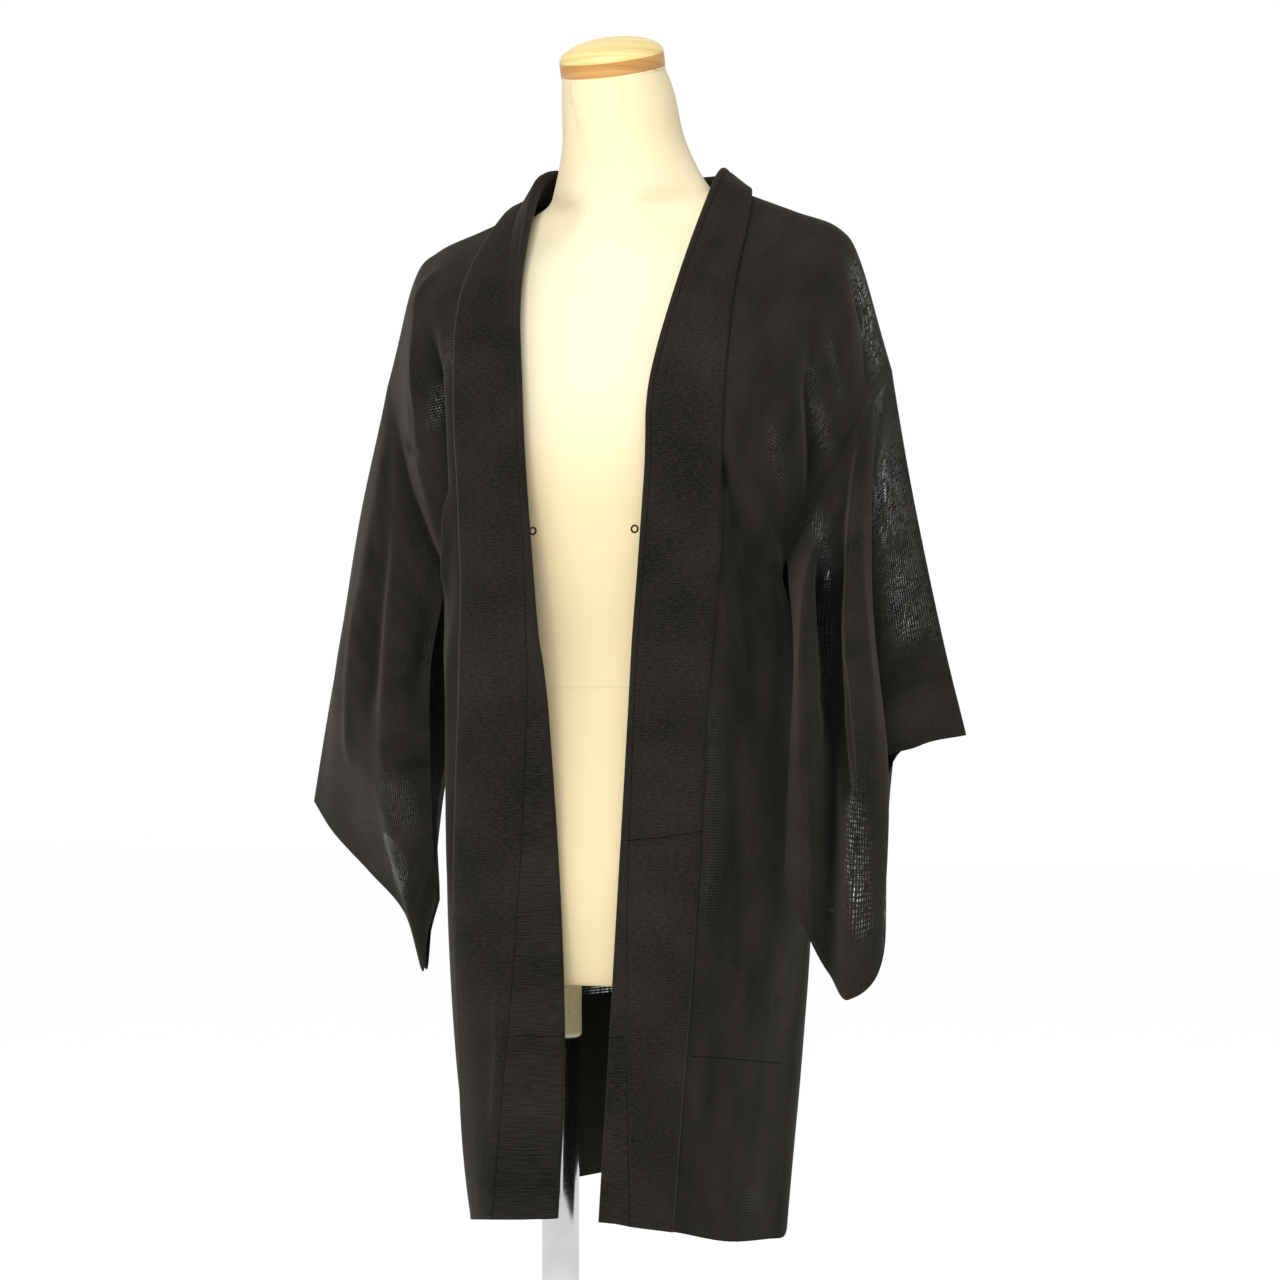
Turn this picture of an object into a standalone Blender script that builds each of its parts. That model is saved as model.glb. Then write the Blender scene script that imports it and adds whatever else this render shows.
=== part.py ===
"""Women's sheer summer haori, worn open on a limbless dress form with a stand.

Metres, +Z up. +X is the wearer's left, the front faces -Y, and the origin is the centre of
the stand's underside on the floor. Every cloth piece is a thin wall through sections that are
worked out from the tables below. Pieces that are sewn together keep a seam gap between them.
"""
import math

import bmesh
import bpy
from mathutils import Vector

# ---------------------------------------------------------------- driving dimensions
CLOTH = 0.0015            # wall of the body, gores and sleeves
BAND = 0.0018             # wall of the collar, which is doubled cloth
SEAM = 0.0003             # gap between pieces that are sewn together
CENTRE_LEAN = 0.0003      # room for the walls to lean at the centre back seam
LEAD = 0.004              # first strip of a piece, flush with its neighbour at the seam
SAMPLES = 32              # straight pieces that stand for a section while it is measured
COLLAR_SPANS = 4          # faces across the collar's outer layer
TURN_POINTS = 5           # points round the collar's turn
AXIS_POINT = Vector((0, 0, 1.1))
SEAM_STEP = 0.0009        # drop at the line where the collar is sewn to the front's edge
COLUMNS = 10              # faces across each body length
LOOP_RADIUS = 0.0030      # small cord loops for the tie
LOOP_CORD = 0.0007
LOOP_HEIGHT = 1.0
TURN_TIP = 5              # the collar section's point at the middle of its turn

POLE_X, POLE_Y = -0.063, -0.012
POLE_RADIUS = 0.016
SOCKET_RADIUS, SOCKET_HEIGHT = 0.018, 0.050
PLATE_RADIUS, PLATE_THICKNESS = 0.180, 0.008
BOSS_RADIUS, BOSS_HEIGHT = 0.030, 0.022
TORSO_BOTTOM = 0.6265
NECK_TOP = 1.3855
NECK_TILT = math.tan(math.radians(17.5))
NECK_Y = -0.0425
CAP_RADIUS, CAP_RIM, CAP_DOME = 0.0439, 0.012, 0.0163

# ---------------------------------------------------------------- tables of sections
# One row per section, from the front hem over the shoulder to the back hem. "steps" is the
# number of faces up to the next section. A section passes through five places, from its inner
# end (under the collar, or on the centre back seam) to its outer end (side seam or armhole).
SECTION_COLUMNS = ("name", "steps", "inner", "second", "middle", "fourth", "outer")
FRONT_LEFT = (
    ("hem", 4, (0.031, -0.110, 0.437), (0.050, -0.107, 0.434), (0.072, -0.078, 0.427),
     (0.095, -0.022, 0.413), (0.114, 0.040, 0.408)),
    ("skirt", 4, (0.038, -0.110, 0.560), (0.056, -0.110, 0.559), (0.085, -0.082, 0.556),
     (0.114, -0.030, 0.551), (0.128, 0.037, 0.548)),
    ("hip", 4, (0.050, -0.113, 0.690), (0.068, -0.113, 0.690), (0.103, -0.096, 0.689),
     (0.145, -0.040, 0.686), (0.148, 0.022, 0.685)),
    ("waist", 2, (0.062, -0.116, 0.860), (0.086, -0.114, 0.860), (0.118, -0.100, 0.860),
     (0.147, -0.050, 0.858), (0.150, 0.005, 0.858)),
    ("gore top", 2, (0.066, -0.118, 0.910), (0.090, -0.114, 0.910), (0.122, -0.096, 0.908),
     (0.148, -0.055, 0.903), (0.151, -0.012, 0.900)),
    ("slit", 3, (0.070, -0.119, 0.955), (0.095, -0.115, 0.955), (0.127, -0.092, 0.952),
     (0.148, -0.060, 0.945), (0.153, -0.030, 0.940)),
    ("armpit", 3, (0.078, -0.119, 1.050), (0.102, -0.117, 1.045), (0.132, -0.106, 1.025),
     (0.150, -0.080, 1.000), (0.156, -0.047, 0.975)),
    ("bust", 3, (0.082, -0.113, 1.120), (0.108, -0.115, 1.112), (0.140, -0.108, 1.100),
     (0.174, -0.083, 1.080), (0.195, -0.038, 1.050)),
    ("chest", 4, (0.096, -0.076, 1.205), (0.122, -0.083, 1.199), (0.154, -0.084, 1.188),
     (0.188, -0.068, 1.166), (0.217, -0.024, 1.105)),
    ("shoulder", 3, (0.098, 0.005, 1.282), (0.146, 0.000, 1.2635), (0.183, 0.000, 1.249),
     (0.2025, 0.000, 1.224), (0.230, 0.000, 1.137)),
)
FRONT_RIGHT = (
    ("hem", 4, (0.028, -0.110, 0.436), (0.062, -0.109, 0.434), (0.098, -0.088, 0.429),
     (0.125, -0.040, 0.4215), (0.114, 0.040, 0.413)),
    ("skirt", 4, (0.022, -0.110, 0.560), (0.060, -0.111, 0.560), (0.106, -0.092, 0.558),
     (0.146, -0.040, 0.553), (0.128, 0.037, 0.548)),
    ("hip", 4, (0.024, -0.113, 0.690), (0.066, -0.116, 0.690), (0.114, -0.104, 0.688),
     (0.149, -0.050, 0.686), (0.147, 0.022, 0.685)),
    ("waist", 2, (0.035, -0.116, 0.860), (0.074, -0.117, 0.860), (0.115, -0.106, 0.860),
     (0.150, -0.055, 0.858), (0.151, 0.005, 0.858)),
    ("gore top", 2, (0.041, -0.118, 0.910), (0.077, -0.118, 0.910), (0.117, -0.104, 0.908),
     (0.149, -0.060, 0.903), (0.151, -0.012, 0.900)),
    ("slit", 3, (0.046, -0.119, 0.955), (0.080, -0.118, 0.955), (0.118, -0.102, 0.952),
     (0.147, -0.064, 0.945), (0.153, -0.030, 0.940)),
    ("armpit", 3, (0.053, -0.119, 1.050), (0.083, -0.119, 1.046), (0.120, -0.109, 1.030),
     (0.147, -0.082, 1.004), (0.157, -0.049, 0.975)),
    ("bust", 3, (0.061, -0.113, 1.120), (0.092, -0.117, 1.114), (0.128, -0.111, 1.102),
     (0.166, -0.086, 1.084), (0.190, -0.042, 1.050)),
    ("chest", 4, (0.078, -0.084, 1.205), (0.108, -0.090, 1.201), (0.144, -0.090, 1.192),
     (0.177, -0.070, 1.170), (0.213, -0.026, 1.108)),
    ("shoulder", 3, (0.098, 0.005, 1.282), (0.146, 0.000, 1.2635), (0.184, 0.000, 1.2495),
     (0.2055, 0.000, 1.227), (0.234, 0.000, 1.139)),
)
BACK = (
    ("neck side", 2, (0.070, 0.048, 1.281), (0.110, 0.045, 1.265), (0.150, 0.046, 1.246),
     (0.176, 0.042, 1.200), (0.219, 0.018, 1.110)),
    ("nape side", 1, (0.022, 0.064, 1.279), (0.0745, 0.065, 1.270), (0.128, 0.067, 1.249),
     (0.164, 0.062, 1.184), (0.211, 0.029, 1.084)),
    ("nape", 4, (0.000, 0.068, 1.277), (0.060, 0.071, 1.265), (0.118, 0.074, 1.238),
     (0.158, 0.070, 1.165), (0.204, 0.034, 1.065)),
    ("blade", 4, (0.000, 0.088, 1.170), (0.050, 0.090, 1.155), (0.098, 0.092, 1.110),
     (0.138, 0.082, 1.040), (0.158, 0.047, 0.975)),
    ("gore top", 2, (0.000, 0.100, 1.000), (0.045, 0.104, 0.985), (0.088, 0.101, 0.950),
     (0.122, 0.080, 0.915), (0.141, 0.033, 0.900)),
    ("waist", 4, (0.000, 0.102, 0.880), (0.045, 0.107, 0.876), (0.086, 0.103, 0.868),
     (0.120, 0.085, 0.862), (0.139, 0.038, 0.860)),
    ("hip", 4, (0.000, 0.119, 0.700), (0.042, 0.127, 0.698), (0.078, 0.120, 0.695),
     (0.106, 0.106, 0.692), (0.125, 0.074, 0.690)),
    ("skirt", 4, (0.000, 0.143, 0.565), (0.036, 0.153, 0.563), (0.066, 0.142, 0.560),
     (0.093, 0.128, 0.557), (0.112, 0.095, 0.556)),
    ("hem", 0, (0.000, 0.158, 0.451), (0.030, 0.170, 0.449), (0.056, 0.156, 0.446),
     (0.079, 0.141, 0.443), (0.096, 0.100, 0.441)),
)

# Collar: where it turns over, how wide the layer that faces out is, and how far in from the
# turn the front's edge is sewn to it. Same sections as the body, up to the nape.
COLLAR_COLUMNS = ("name", "fold", "width", "sewn_at", "lift")
COLLAR_LEFT = (
    ("hem", (0.0180, -0.1105, 0.437), 0.062, 0.0265, 0.0042),
    ("skirt", (0.0260, -0.1105, 0.560), 0.063, 0.0180, 0.0042),
    ("hip", (0.0355, -0.1135, 0.690), 0.0635, 0.0085, 0.0042),
    ("waist", (0.0475, -0.1165, 0.860), 0.063, 0.0040, 0.0042),
    ("gore top", (0.0513, -0.1185, 0.910), 0.0635, 0.0040, 0.0042),
    ("slit", (0.0555, -0.1195, 0.955), 0.064, 0.0040, 0.0042),
    ("armpit", (0.0630, -0.1200, 1.050), 0.066, 0.0040, 0.0042),
    ("bust", (0.0645, -0.1135, 1.120), 0.064, 0.0040, 0.0042),
    ("chest", (0.0755, -0.0790, 1.210), 0.052, 0.0040, 0.0042),
    ("shoulder", (0.0725, 0.0000, 1.297), 0.034, 0.0040, 0.0055),
    ("neck side", (0.0570, 0.0420, 1.306), 0.023, 0.0040, 0.0075),
    ("nape side", (0.0210, 0.0555, 1.308), 0.023, 0.0040, 0.0075),
    ("nape", (0.0000, 0.0590, 1.309), 0.024, 0.0040, 0.0075),
)
COLLAR_RIGHT = (
    ("hem", (0.0172, -0.1105, 0.438), 0.130, 0.0625, 0.0046),
    ("skirt", (0.0114, -0.1105, 0.560), 0.119, 0.0520, 0.0046),
    ("hip", (0.0132, -0.1135, 0.690), 0.103, 0.0365, 0.0044),
    ("waist", (0.0241, -0.1165, 0.860), 0.082, 0.0165, 0.0042),
    ("gore top", (0.0307, -0.1185, 0.910), 0.075, 0.0100, 0.0042),
    ("slit", (0.0347, -0.1195, 0.955), 0.070, 0.0060, 0.0042),
    ("armpit", (0.0420, -0.1200, 1.050), 0.065, 0.0040, 0.0042),
    ("bust", (0.0485, -0.1135, 1.120), 0.061, 0.0040, 0.0042),
    ("chest", (0.0620, -0.0860, 1.208), 0.053, 0.0040, 0.0045),
    ("shoulder", (0.0800, 0.0000, 1.306), 0.042, 0.0040, 0.0090),
    ("neck side", (0.0580, 0.0420, 1.308), 0.023, 0.0040, 0.0075),
    ("nape side", (0.0210, 0.0555, 1.309), 0.023, 0.0040, 0.0075),
    ("nape", (0.0000, 0.0590, 1.309), 0.024, 0.0040, 0.0075),
)

# Sleeves hang with no arm in them. One row per fold line from the slit edge out to the top
# fold: how far round the armhole it starts, two places it passes on the front layer, two on
# the back layer, where both end, and how far apart the layers are there (sewn or cuff).
SLEEVE_COLUMNS = ("fold", "start", "front_1", "front_2", "back_1", "back_2", "end", "apart")
SLEEVE_LEFT = (
    ("slit edge", 0.00, (0.178, -0.085, 0.894), (0.175, -0.088, 0.798),
     (0.168, 0.030, 0.900), (0.174, -0.030, 0.800), (0.169, -0.083, 0.713), 0.006),
    ("inner roll", 0.10, (0.192, -0.098, 0.930), (0.199, -0.108, 0.800),
     (0.176, 0.040, 0.910), (0.186, -0.028, 0.790), (0.196, -0.100, 0.674), 0.007),
    ("valley", 0.20, (0.203, -0.062, 0.930), (0.206, -0.066, 0.800),
     (0.184, 0.052, 0.920), (0.198, -0.004, 0.785), (0.209, -0.088, 0.644), 0.007),
    ("outer roll", 0.27, (0.222, -0.080, 0.950), (0.236, -0.100, 0.800),
     (0.192, 0.060, 0.930), (0.206, 0.018, 0.790), (0.230, -0.098, 0.624), 0.006),
    ("roll edge", 0.34, (0.232, -0.050, 0.950), (0.252, -0.066, 0.800),
     (0.202, 0.066, 0.940), (0.208, 0.042, 0.800), (0.249, -0.072, 0.660), 0.006),
    ("under roll", 0.40, (0.214, -0.022, 0.960), (0.222, -0.028, 0.870),
     (0.214, 0.066, 0.955), (0.220, 0.065, 0.870), (0.227, -0.036, 0.796), 0.041),
    ("cuff edge", 0.45, (0.233, -0.002, 1.000), (0.248, -0.002, 0.900),
     (0.230, 0.044, 0.990), (0.245, 0.056, 0.900), (0.254, 0.000, 0.824), 0.052),
    ("top fold", 0.50, (0.246, 0.014, 1.020), (0.267, 0.024, 0.912),
     (0.246, 0.014, 1.020), (0.267, 0.024, 0.912), (0.285, 0.030, 0.833), 0.000),
)
SLEEVE_RIGHT = (
    ("slit edge", 0.00, (0.160, -0.064, 0.880), (0.1555, -0.072, 0.780),
     (0.168, 0.035, 0.900), (0.172, -0.022, 0.785), (0.1515, -0.069, 0.692), 0.006),
    ("inner roll", 0.12, (0.178, -0.078, 0.900), (0.170, -0.087, 0.770),
     (0.178, 0.050, 0.910), (0.180, 0.000, 0.780), (0.159, -0.071, 0.664), 0.006),
    ("tip", 0.22, (0.195, -0.077, 0.900), (0.186, -0.090, 0.760),
     (0.188, 0.060, 0.920), (0.194, 0.024, 0.770), (0.1655, -0.069, 0.632), 0.007),
    ("cuff end", 0.30, (0.212, -0.066, 0.920), (0.212, -0.076, 0.800),
     (0.200, 0.068, 0.930), (0.212, 0.048, 0.780), (0.190, -0.056, 0.680), 0.007),
    ("ridge", 0.37, (0.232, -0.055, 0.950), (0.240, -0.056, 0.830),
     (0.222, 0.070, 0.950), (0.236, 0.078, 0.820), (0.235, -0.035, 0.713), 0.070),
    ("front cuff", 0.43, (0.252, -0.025, 0.980), (0.275, -0.022, 0.870),
     (0.248, 0.050, 0.980), (0.270, 0.070, 0.860), (0.285, -0.005, 0.744), 0.060),
    ("top fold", 0.50, (0.271, 0.015, 1.020), (0.301, 0.028, 0.895),
     (0.271, 0.015, 1.020), (0.301, 0.028, 0.895), (0.325, 0.030, 0.771), 0.000),
)
SLEEVE_ROWS = 10
CUFF_LEAN = Vector((0, 1, 0.15))    # the way the back layer of the cuff is set off

# Dress form: each level section's half width, half width of its round core without the
# shoulders, how far it reaches to the front and back, where its widest line lies, and how far
# it tips forward.
FORM_COLUMNS = ("z", "half_width", "core", "front_y", "back_y", "widest_y", "tilt")
FORM = (
    (0.6265, 0.126, 0.126, -0.090, 0.070, -0.010, 0.0),
    (0.6300, 0.132, 0.132, -0.097, 0.077, -0.010, 0.0),
    (0.6600, 0.137, 0.137, -0.102, 0.082, -0.010, 0.0),
    (0.7200, 0.140, 0.140, -0.106, 0.086, -0.010, 0.0),
    (0.8000, 0.134, 0.134, -0.100, 0.080, -0.010, 0.0),
    (0.8900, 0.119, 0.119, -0.091, 0.073, -0.008, 0.0),
    (0.9600, 0.126, 0.126, -0.099, 0.077, -0.008, 0.0),
    (1.0500, 0.145, 0.145, -0.112, 0.086, -0.008, 0.0),
    (1.1000, 0.156, 0.152, -0.112, 0.089, -0.006, 0.0),
    (1.1600, 0.181, 0.154, -0.102, 0.084, 0.000, 0.0),
    (1.2000, 0.196, 0.130, -0.091, 0.077, 0.000, 0.0),
    (1.2250, 0.195, 0.105, -0.083, 0.070, 0.002, 0.0),
    (1.2420, 0.1842, 0.080, -0.076, 0.064, 0.008, 0.0),
    (1.2500, 0.1730, 0.071, -0.072, 0.060, 0.010, 0.0),
    (1.2570, 0.1615, 0.062, -0.069, 0.057, 0.012, 0.0),
    (1.2660, 0.136, 0.056, -0.066, 0.053, 0.013, 0.0),
    (1.2740, 0.105, 0.055, -0.065, 0.050, 0.012, 0.0),
    (1.2820, 0.0800, 0.057, -0.065, 0.047, 0.002, 0.0),
    (1.2930, 0.0700, 0.060, -0.066, 0.044, -0.006, 0.1),
    (1.3080, 0.0615, 0.0580, -0.068, 0.038, -0.013, 0.3),
    (1.3330, 0.0515, 0.0515, -0.073, 0.027, -0.023, 0.6),
    (1.3630, 0.0480, 0.0480, -0.0795, 0.0155, -0.032, 0.9),
    (NECK_TOP, 0.0434, 0.0434, -0.0859, 0.0009, NECK_Y, 1.0),
)
WING_POWER = 9            # how thin the shoulders taper outside the round core
FORM_SIDES = 28

COLOURS = {
    "cloth": ((0.018, 0.016, 0.014), 0.75, 0.0),
    "jersey": ((0.86, 0.80, 0.62), 0.70, 0.0),
    "wood": ((0.72, 0.47, 0.20), 0.45, 0.0),
    "beige": ((0.42, 0.38, 0.29), 0.55, 0.0),
    "steel": ((0.62, 0.62, 0.63), 0.20, 1.0),
}


# ---------------------------------------------------------------- helpers
def spline(values, position):
    """Catmull-Rom value at a real-valued position along a list of vectors or numbers."""
    last = len(values) - 1
    index = min(int(position), last - 1)
    t = position - index
    p1, p2 = values[index], values[index + 1]
    p0 = values[index - 1] if index > 0 else p1 * 2 - p2
    p3 = values[index + 2] if index + 2 <= last else p2 * 2 - p1
    return (p1 * 2 + (p2 - p0) * t + (p0 * 2 - p1 * 5 + p2 * 4 - p3) * t ** 2
            + (p1 * 3 - p0 - p2 * 3 + p3) * t ** 3) * 0.5


def positions(steps):
    """Real-valued positions along a table whose rows are split into steps."""
    places = []
    for index, count in enumerate(steps):
        places += [index + part / count for part in range(count)]
    return places


def bezier(points, t):
    s = 1 - t
    a, b, c, d = points
    return a * s ** 3 + b * 3 * s * s * t + c * 3 * s * t * t + d * t ** 3


def walk(line, distance):
    """Point at a distance along a polyline from its first point; it goes on straight past it."""
    if distance < 0:
        return line[0] + (line[0] - line[1]).normalized() * -distance
    for start, end in zip(line, line[1:]):
        length = (end - start).length
        if distance <= length:
            return start.lerp(end, distance / length)
        distance -= length
    return line[-1] + (line[-1] - line[-2]).normalized() * distance


def normals(grid, outward_from):
    """Unit normal at each point of a grid, pointing away from a vertical axis point."""
    result = []
    for j, row in enumerate(grid):
        above, below = grid[min(j + 1, len(grid) - 1)], grid[max(j - 1, 0)]
        line = []
        for i, point in enumerate(row):
            across = row[min(i + 1, len(row) - 1)] - row[max(i - 1, 0)]
            along = above[i] - below[i]
            normal = across.cross(along).normalized()
            if normal.dot(point - outward_from) < 0:
                normal.negate()
            line.append(normal)
        result.append(line)
    return result


def material(name):
    colour, roughness, metallic = COLOURS[name]
    made = bpy.data.materials.get(name) or bpy.data.materials.new(name)
    made.use_nodes = True
    shader = made.node_tree.nodes["Principled BSDF"]
    shader.inputs["Base Color"].default_value = (*colour, 1)
    shader.inputs["Roughness"].default_value = roughness
    shader.inputs["Metallic"].default_value = metallic
    made.diffuse_color = (*colour, 1)
    return made


def add_object(name, mesh, finish):
    obj = bpy.data.objects.new(name, mesh)
    mesh.materials.append(material(finish))
    mesh.shade_smooth()
    collection().objects.link(obj)
    return obj


def collection():
    name = "haori_on_dress_form"
    found = bpy.data.collections.get(name)
    if not found:
        found = bpy.data.collections.new(name)
        bpy.context.scene.collection.children.link(found)
    return found


def add_sheet(name, grid, wall, finish="cloth"):
    """A cloth piece: an open loft through the rows of a grid, given its wall by Solidify."""
    width = len(grid[0])
    points = [tuple(point) for row in grid for point in row]
    faces = [(j * width + i, j * width + i + 1, (j + 1) * width + i + 1, (j + 1) * width + i)
             for j in range(len(grid) - 1) for i in range(width - 1)]
    mesh = bpy.data.meshes.new(name)
    mesh.from_pydata(points, [], faces)
    obj = add_object(name, mesh, finish)
    shell = obj.modifiers.new("wall", "SOLIDIFY")
    shell.thickness = wall
    shell.offset = 0.0
    return obj


def add_turned(name, profile, finish, steps=24):
    """A turned piece: a profile of (radius, height) pairs, top to bottom, spun round Z."""
    mesh = bpy.data.meshes.new(name)
    points = [(radius, 0, height) for radius, height in profile]
    mesh.from_pydata(points, [(i, i + 1) for i in range(len(points) - 1)], [])
    obj = add_object(name, mesh, finish)
    spin = obj.modifiers.new("spin", "SCREW")
    spin.steps = steps
    spin.render_steps = steps
    spin.use_merge_vertices = True
    spin.merge_threshold = 0.00001
    return obj


def rounded(radius, bottom, top, corner, segments=2):
    """Profile of a disc with rounded rims, top to bottom, closed on the axis."""
    profile = [(0.0, top)]
    for k in range(segments + 1):
        angle = math.pi / 2 * (1 - k / segments)
        profile.append((radius - corner + corner * math.cos(angle), top - corner + corner * math.sin(angle)))
    for k in range(segments + 1):
        angle = -math.pi / 2 * k / segments
        profile.append((radius - corner + corner * math.cos(angle),
                        bottom + corner + corner * math.sin(angle)))
    return profile + [(0.0, bottom)]


# ---------------------------------------------------------------- body lengths
def body_rows(front, side):
    """Finely sampled section curves of one body length, front hem to back hem."""
    table = [dict(zip(SECTION_COLUMNS, row)) for row in front + BACK]
    controls = [[Vector((row[end][0] * side, *row[end][1:])) for end in SECTION_COLUMNS[2:]]
                for row in table]
    places = positions([row["steps"] for row in table[:-1]]) + [len(table) - 1]
    rows = []
    for place in places:
        stations = [spline([control[k] for control in controls], place) for k in range(5)]
        stations[0].x = side * max(stations[0].x * side, 0)
        rows.append([spline(stations, 4 * t / SAMPLES) for t in range(SAMPLES + 1)])
    for row in rows[row_index(table, "nape", place_from=len(front)):]:
        for point in row:
            point.x += side * (SEAM / 2 + CENTRE_LEAN)
    return table, rows


def row_index(table, name, place_from=0):
    """Index of the grid row on which a named section lies."""
    index = next(k for k in range(place_from, len(table)) if table[k]["name"] == name)
    return sum(row["steps"] for row in table[:index])


def body_grid(rows):
    grid = []
    for row in rows:
        length = sum((b - a).length for a, b in zip(row, row[1:]))
        grid.append([walk(row, length * i / COLUMNS) for i in range(COLUMNS)] + [row[-1]])
    return grid


# ---------------------------------------------------------------- collar
def collar_grid(rows, table, body_table, side):
    """Cross-sections of the collar along one body length, from the hem to the nape."""
    keys = [dict(zip(COLLAR_COLUMNS, row)) for row in table]
    turns = [Vector((key["fold"][0] * side, *key["fold"][1:])) for key in keys]
    places = positions([row["steps"] for row in body_table[:len(keys) - 1]]) + [len(keys) - 1]
    lines, folds, lifts = [], [], []
    for place, row in zip(places, rows):
        edge = spline(turns, place)
        width, sewn_at, lift = [spline([key[name] for key in keys], place)
                                for name in ("width", "sewn_at", "lift")]
        fold = edge + (row[0] - edge).normalized() * (lift + BAND) / 2
        base = (row[0] - fold).length
        spread = width - sewn_at
        stations = [0, sewn_at / 2, sewn_at - 0.001, sewn_at + 0.001]
        stations += [sewn_at + spread * part / COLLAR_SPANS for part in range(1, COLLAR_SPANS + 1)]
        lines.append([fold.lerp(row[0], s / base) if s < base else walk(row, s - base) for s in stations])
        folds.append(fold)
        lifts.append(lift)
    grid = []
    for row, fold, lift, line, facing in zip(rows, folds, lifts, lines, normals(lines, AXIS_POINT)):
        inward = (fold - row[0]).normalized()
        bend = inward.cross((row[0] - row[1]).normalized()).length
        gap = SEAM + bend * BAND / 2
        section = [row[0] + inward * gap, row[0] + inward * (gap + LEAD)]
        section += [section[1].lerp(fold, 0.5)]
        centre = fold + facing[0] * lift / 2
        for k in range(TURN_POINTS):
            angle = math.pi * (k / (TURN_POINTS - 1) - 0.5)
            section.append(centre + inward * math.cos(angle) * lift / 2
                           + facing[0] * math.sin(angle) * lift / 2)
        for k in range(1, len(line)):
            drop = SEAM_STEP if k == 2 else 0
            section.append(line[k] + facing[k] * (lift - drop))
        grid.append(section)
    return grid


# ---------------------------------------------------------------- gores and sleeves
def edge_out(grid_row):
    """Outer end of a section and its outward direction there."""
    return grid_row[-1], (grid_row[-1] - grid_row[-2]).normalized()


def gore_grid(front_rows, back_rows):
    """Narrow side gore between the front's side seam and the back's, top to hem."""
    grid = []
    for front, back in zip(front_rows, back_rows):
        start, ahead = edge_out(front)
        end, behind = edge_out(back)
        reach = (end - start).length / 3
        handles = (start + ahead * (SEAM + LEAD), start + ahead * reach, end + behind * reach,
                   end + behind * (SEAM + LEAD))
        middle = [bezier(handles, t / 3) for t in range(4)]
        grid.append([start + ahead * SEAM] + middle + [end + behind * SEAM])
    return grid


def sleeve_grid(body, table, side, first, last):
    """Sleeve bag from the armhole out to its cuff and lower edge, as an open wrap."""
    keys = [dict(zip(SLEEVE_COLUMNS, row)) for row in table]
    starts = [key["start"] for key in keys]
    armhole = [edge_out(row) for row in body[first:last + 1]]
    columns = []
    for low in range(len(armhole) - 1):
        for blend in (0, 0.5):
            columns.append([end.lerp(other, blend) for end, other in zip(armhole[low], armhole[low + 1])])
    columns.append(armhole[-1])
    lines = []
    for c, (point, outward) in enumerate(columns):
        outward = outward.normalized()
        share = c / (len(columns) - 1)
        layer = "front" if share <= 0.5 else "back"
        near = min(share, 1 - share)
        k = next(index for index in range(len(starts) - 1) if near <= starts[index + 1] + 1e-9)
        place = k + (near - starts[k]) / (starts[k + 1] - starts[k])
        line = [point + outward * (SEAM + LEAD)]
        for name in (layer + "_1", layer + "_2", "end"):
            line.append(spline([Vector((key[name][0] * side, *key[name][1:])) for key in keys], place))
        if layer == "back":
            line[3] += CUFF_LEAN * spline([key["apart"] for key in keys], place)
        lines.append([point + outward * SEAM] + [spline(line, 3 * r / SLEEVE_ROWS)
                                                 for r in range(SLEEVE_ROWS + 1)])
    return [list(row) for row in zip(*lines)]


def add_loop(name, sections):
    """A small cord loop that stands on the collar's turned edge at the height of the tie."""
    low, high = next((low, high) for low, high in zip(sections, sections[1:])
                     if high[TURN_TIP].z > LOOP_HEIGHT)
    share = (LOOP_HEIGHT - low[TURN_TIP].z) / (high[TURN_TIP].z - low[TURN_TIP].z)
    tip = low[TURN_TIP].lerp(high[TURN_TIP], share)
    inward = (tip - low[TURN_TIP - 3].lerp(high[TURN_TIP - 3], share)).normalized()
    centre = tip + inward * (BAND / 2 + SEAM + LOOP_RADIUS + LOOP_CORD)
    bpy.ops.mesh.primitive_torus_add(major_segments=16, minor_segments=6, major_radius=LOOP_RADIUS,
                                     minor_radius=LOOP_CORD, location=centre,
                                     rotation=(math.pi / 2, 0, 0))
    obj = bpy.context.active_object
    obj.name = name
    obj.data.materials.append(material("cloth"))
    obj.data.shade_smooth()
    for owner in obj.users_collection:
        owner.objects.unlink(obj)
    collection().objects.link(obj)


# ---------------------------------------------------------------- dress form and stand
def add_form():
    """Smooth limbless torso and neck, lofted through its level sections and capped."""
    rings = [dict(zip(FORM_COLUMNS, row)) for row in FORM]
    mesh = bpy.data.meshes.new("form_torso")
    builder = bmesh.new()
    loops = []
    for ring in rings:
        loop = []
        for k in range(FORM_SIDES):
            angle = 2 * math.pi * k / FORM_SIDES
            c, s = math.cos(angle), math.sin(angle)
            reach = ring["front_y"] if s < 0 else ring["back_y"]
            x = ring["core"] * c + (ring["half_width"] - ring["core"]) * c ** WING_POWER
            y = ring["widest_y"] + (reach - ring["widest_y"]) * abs(s)
            z = ring["z"] + (y - ring["widest_y"]) * NECK_TILT * ring["tilt"]
            loop.append(builder.verts.new((x, y, z)))
        loops.append(loop)
    for low, high in zip(loops, loops[1:]):
        for k in range(FORM_SIDES):
            n = (k + 1) % FORM_SIDES
            builder.faces.new((low[k], low[n], high[n], high[k]))
    builder.faces.new(reversed(loops[0]))
    builder.faces.new(loops[-1])
    builder.to_mesh(mesh)
    builder.free()
    return add_object("form_torso", mesh, "jersey")


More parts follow.
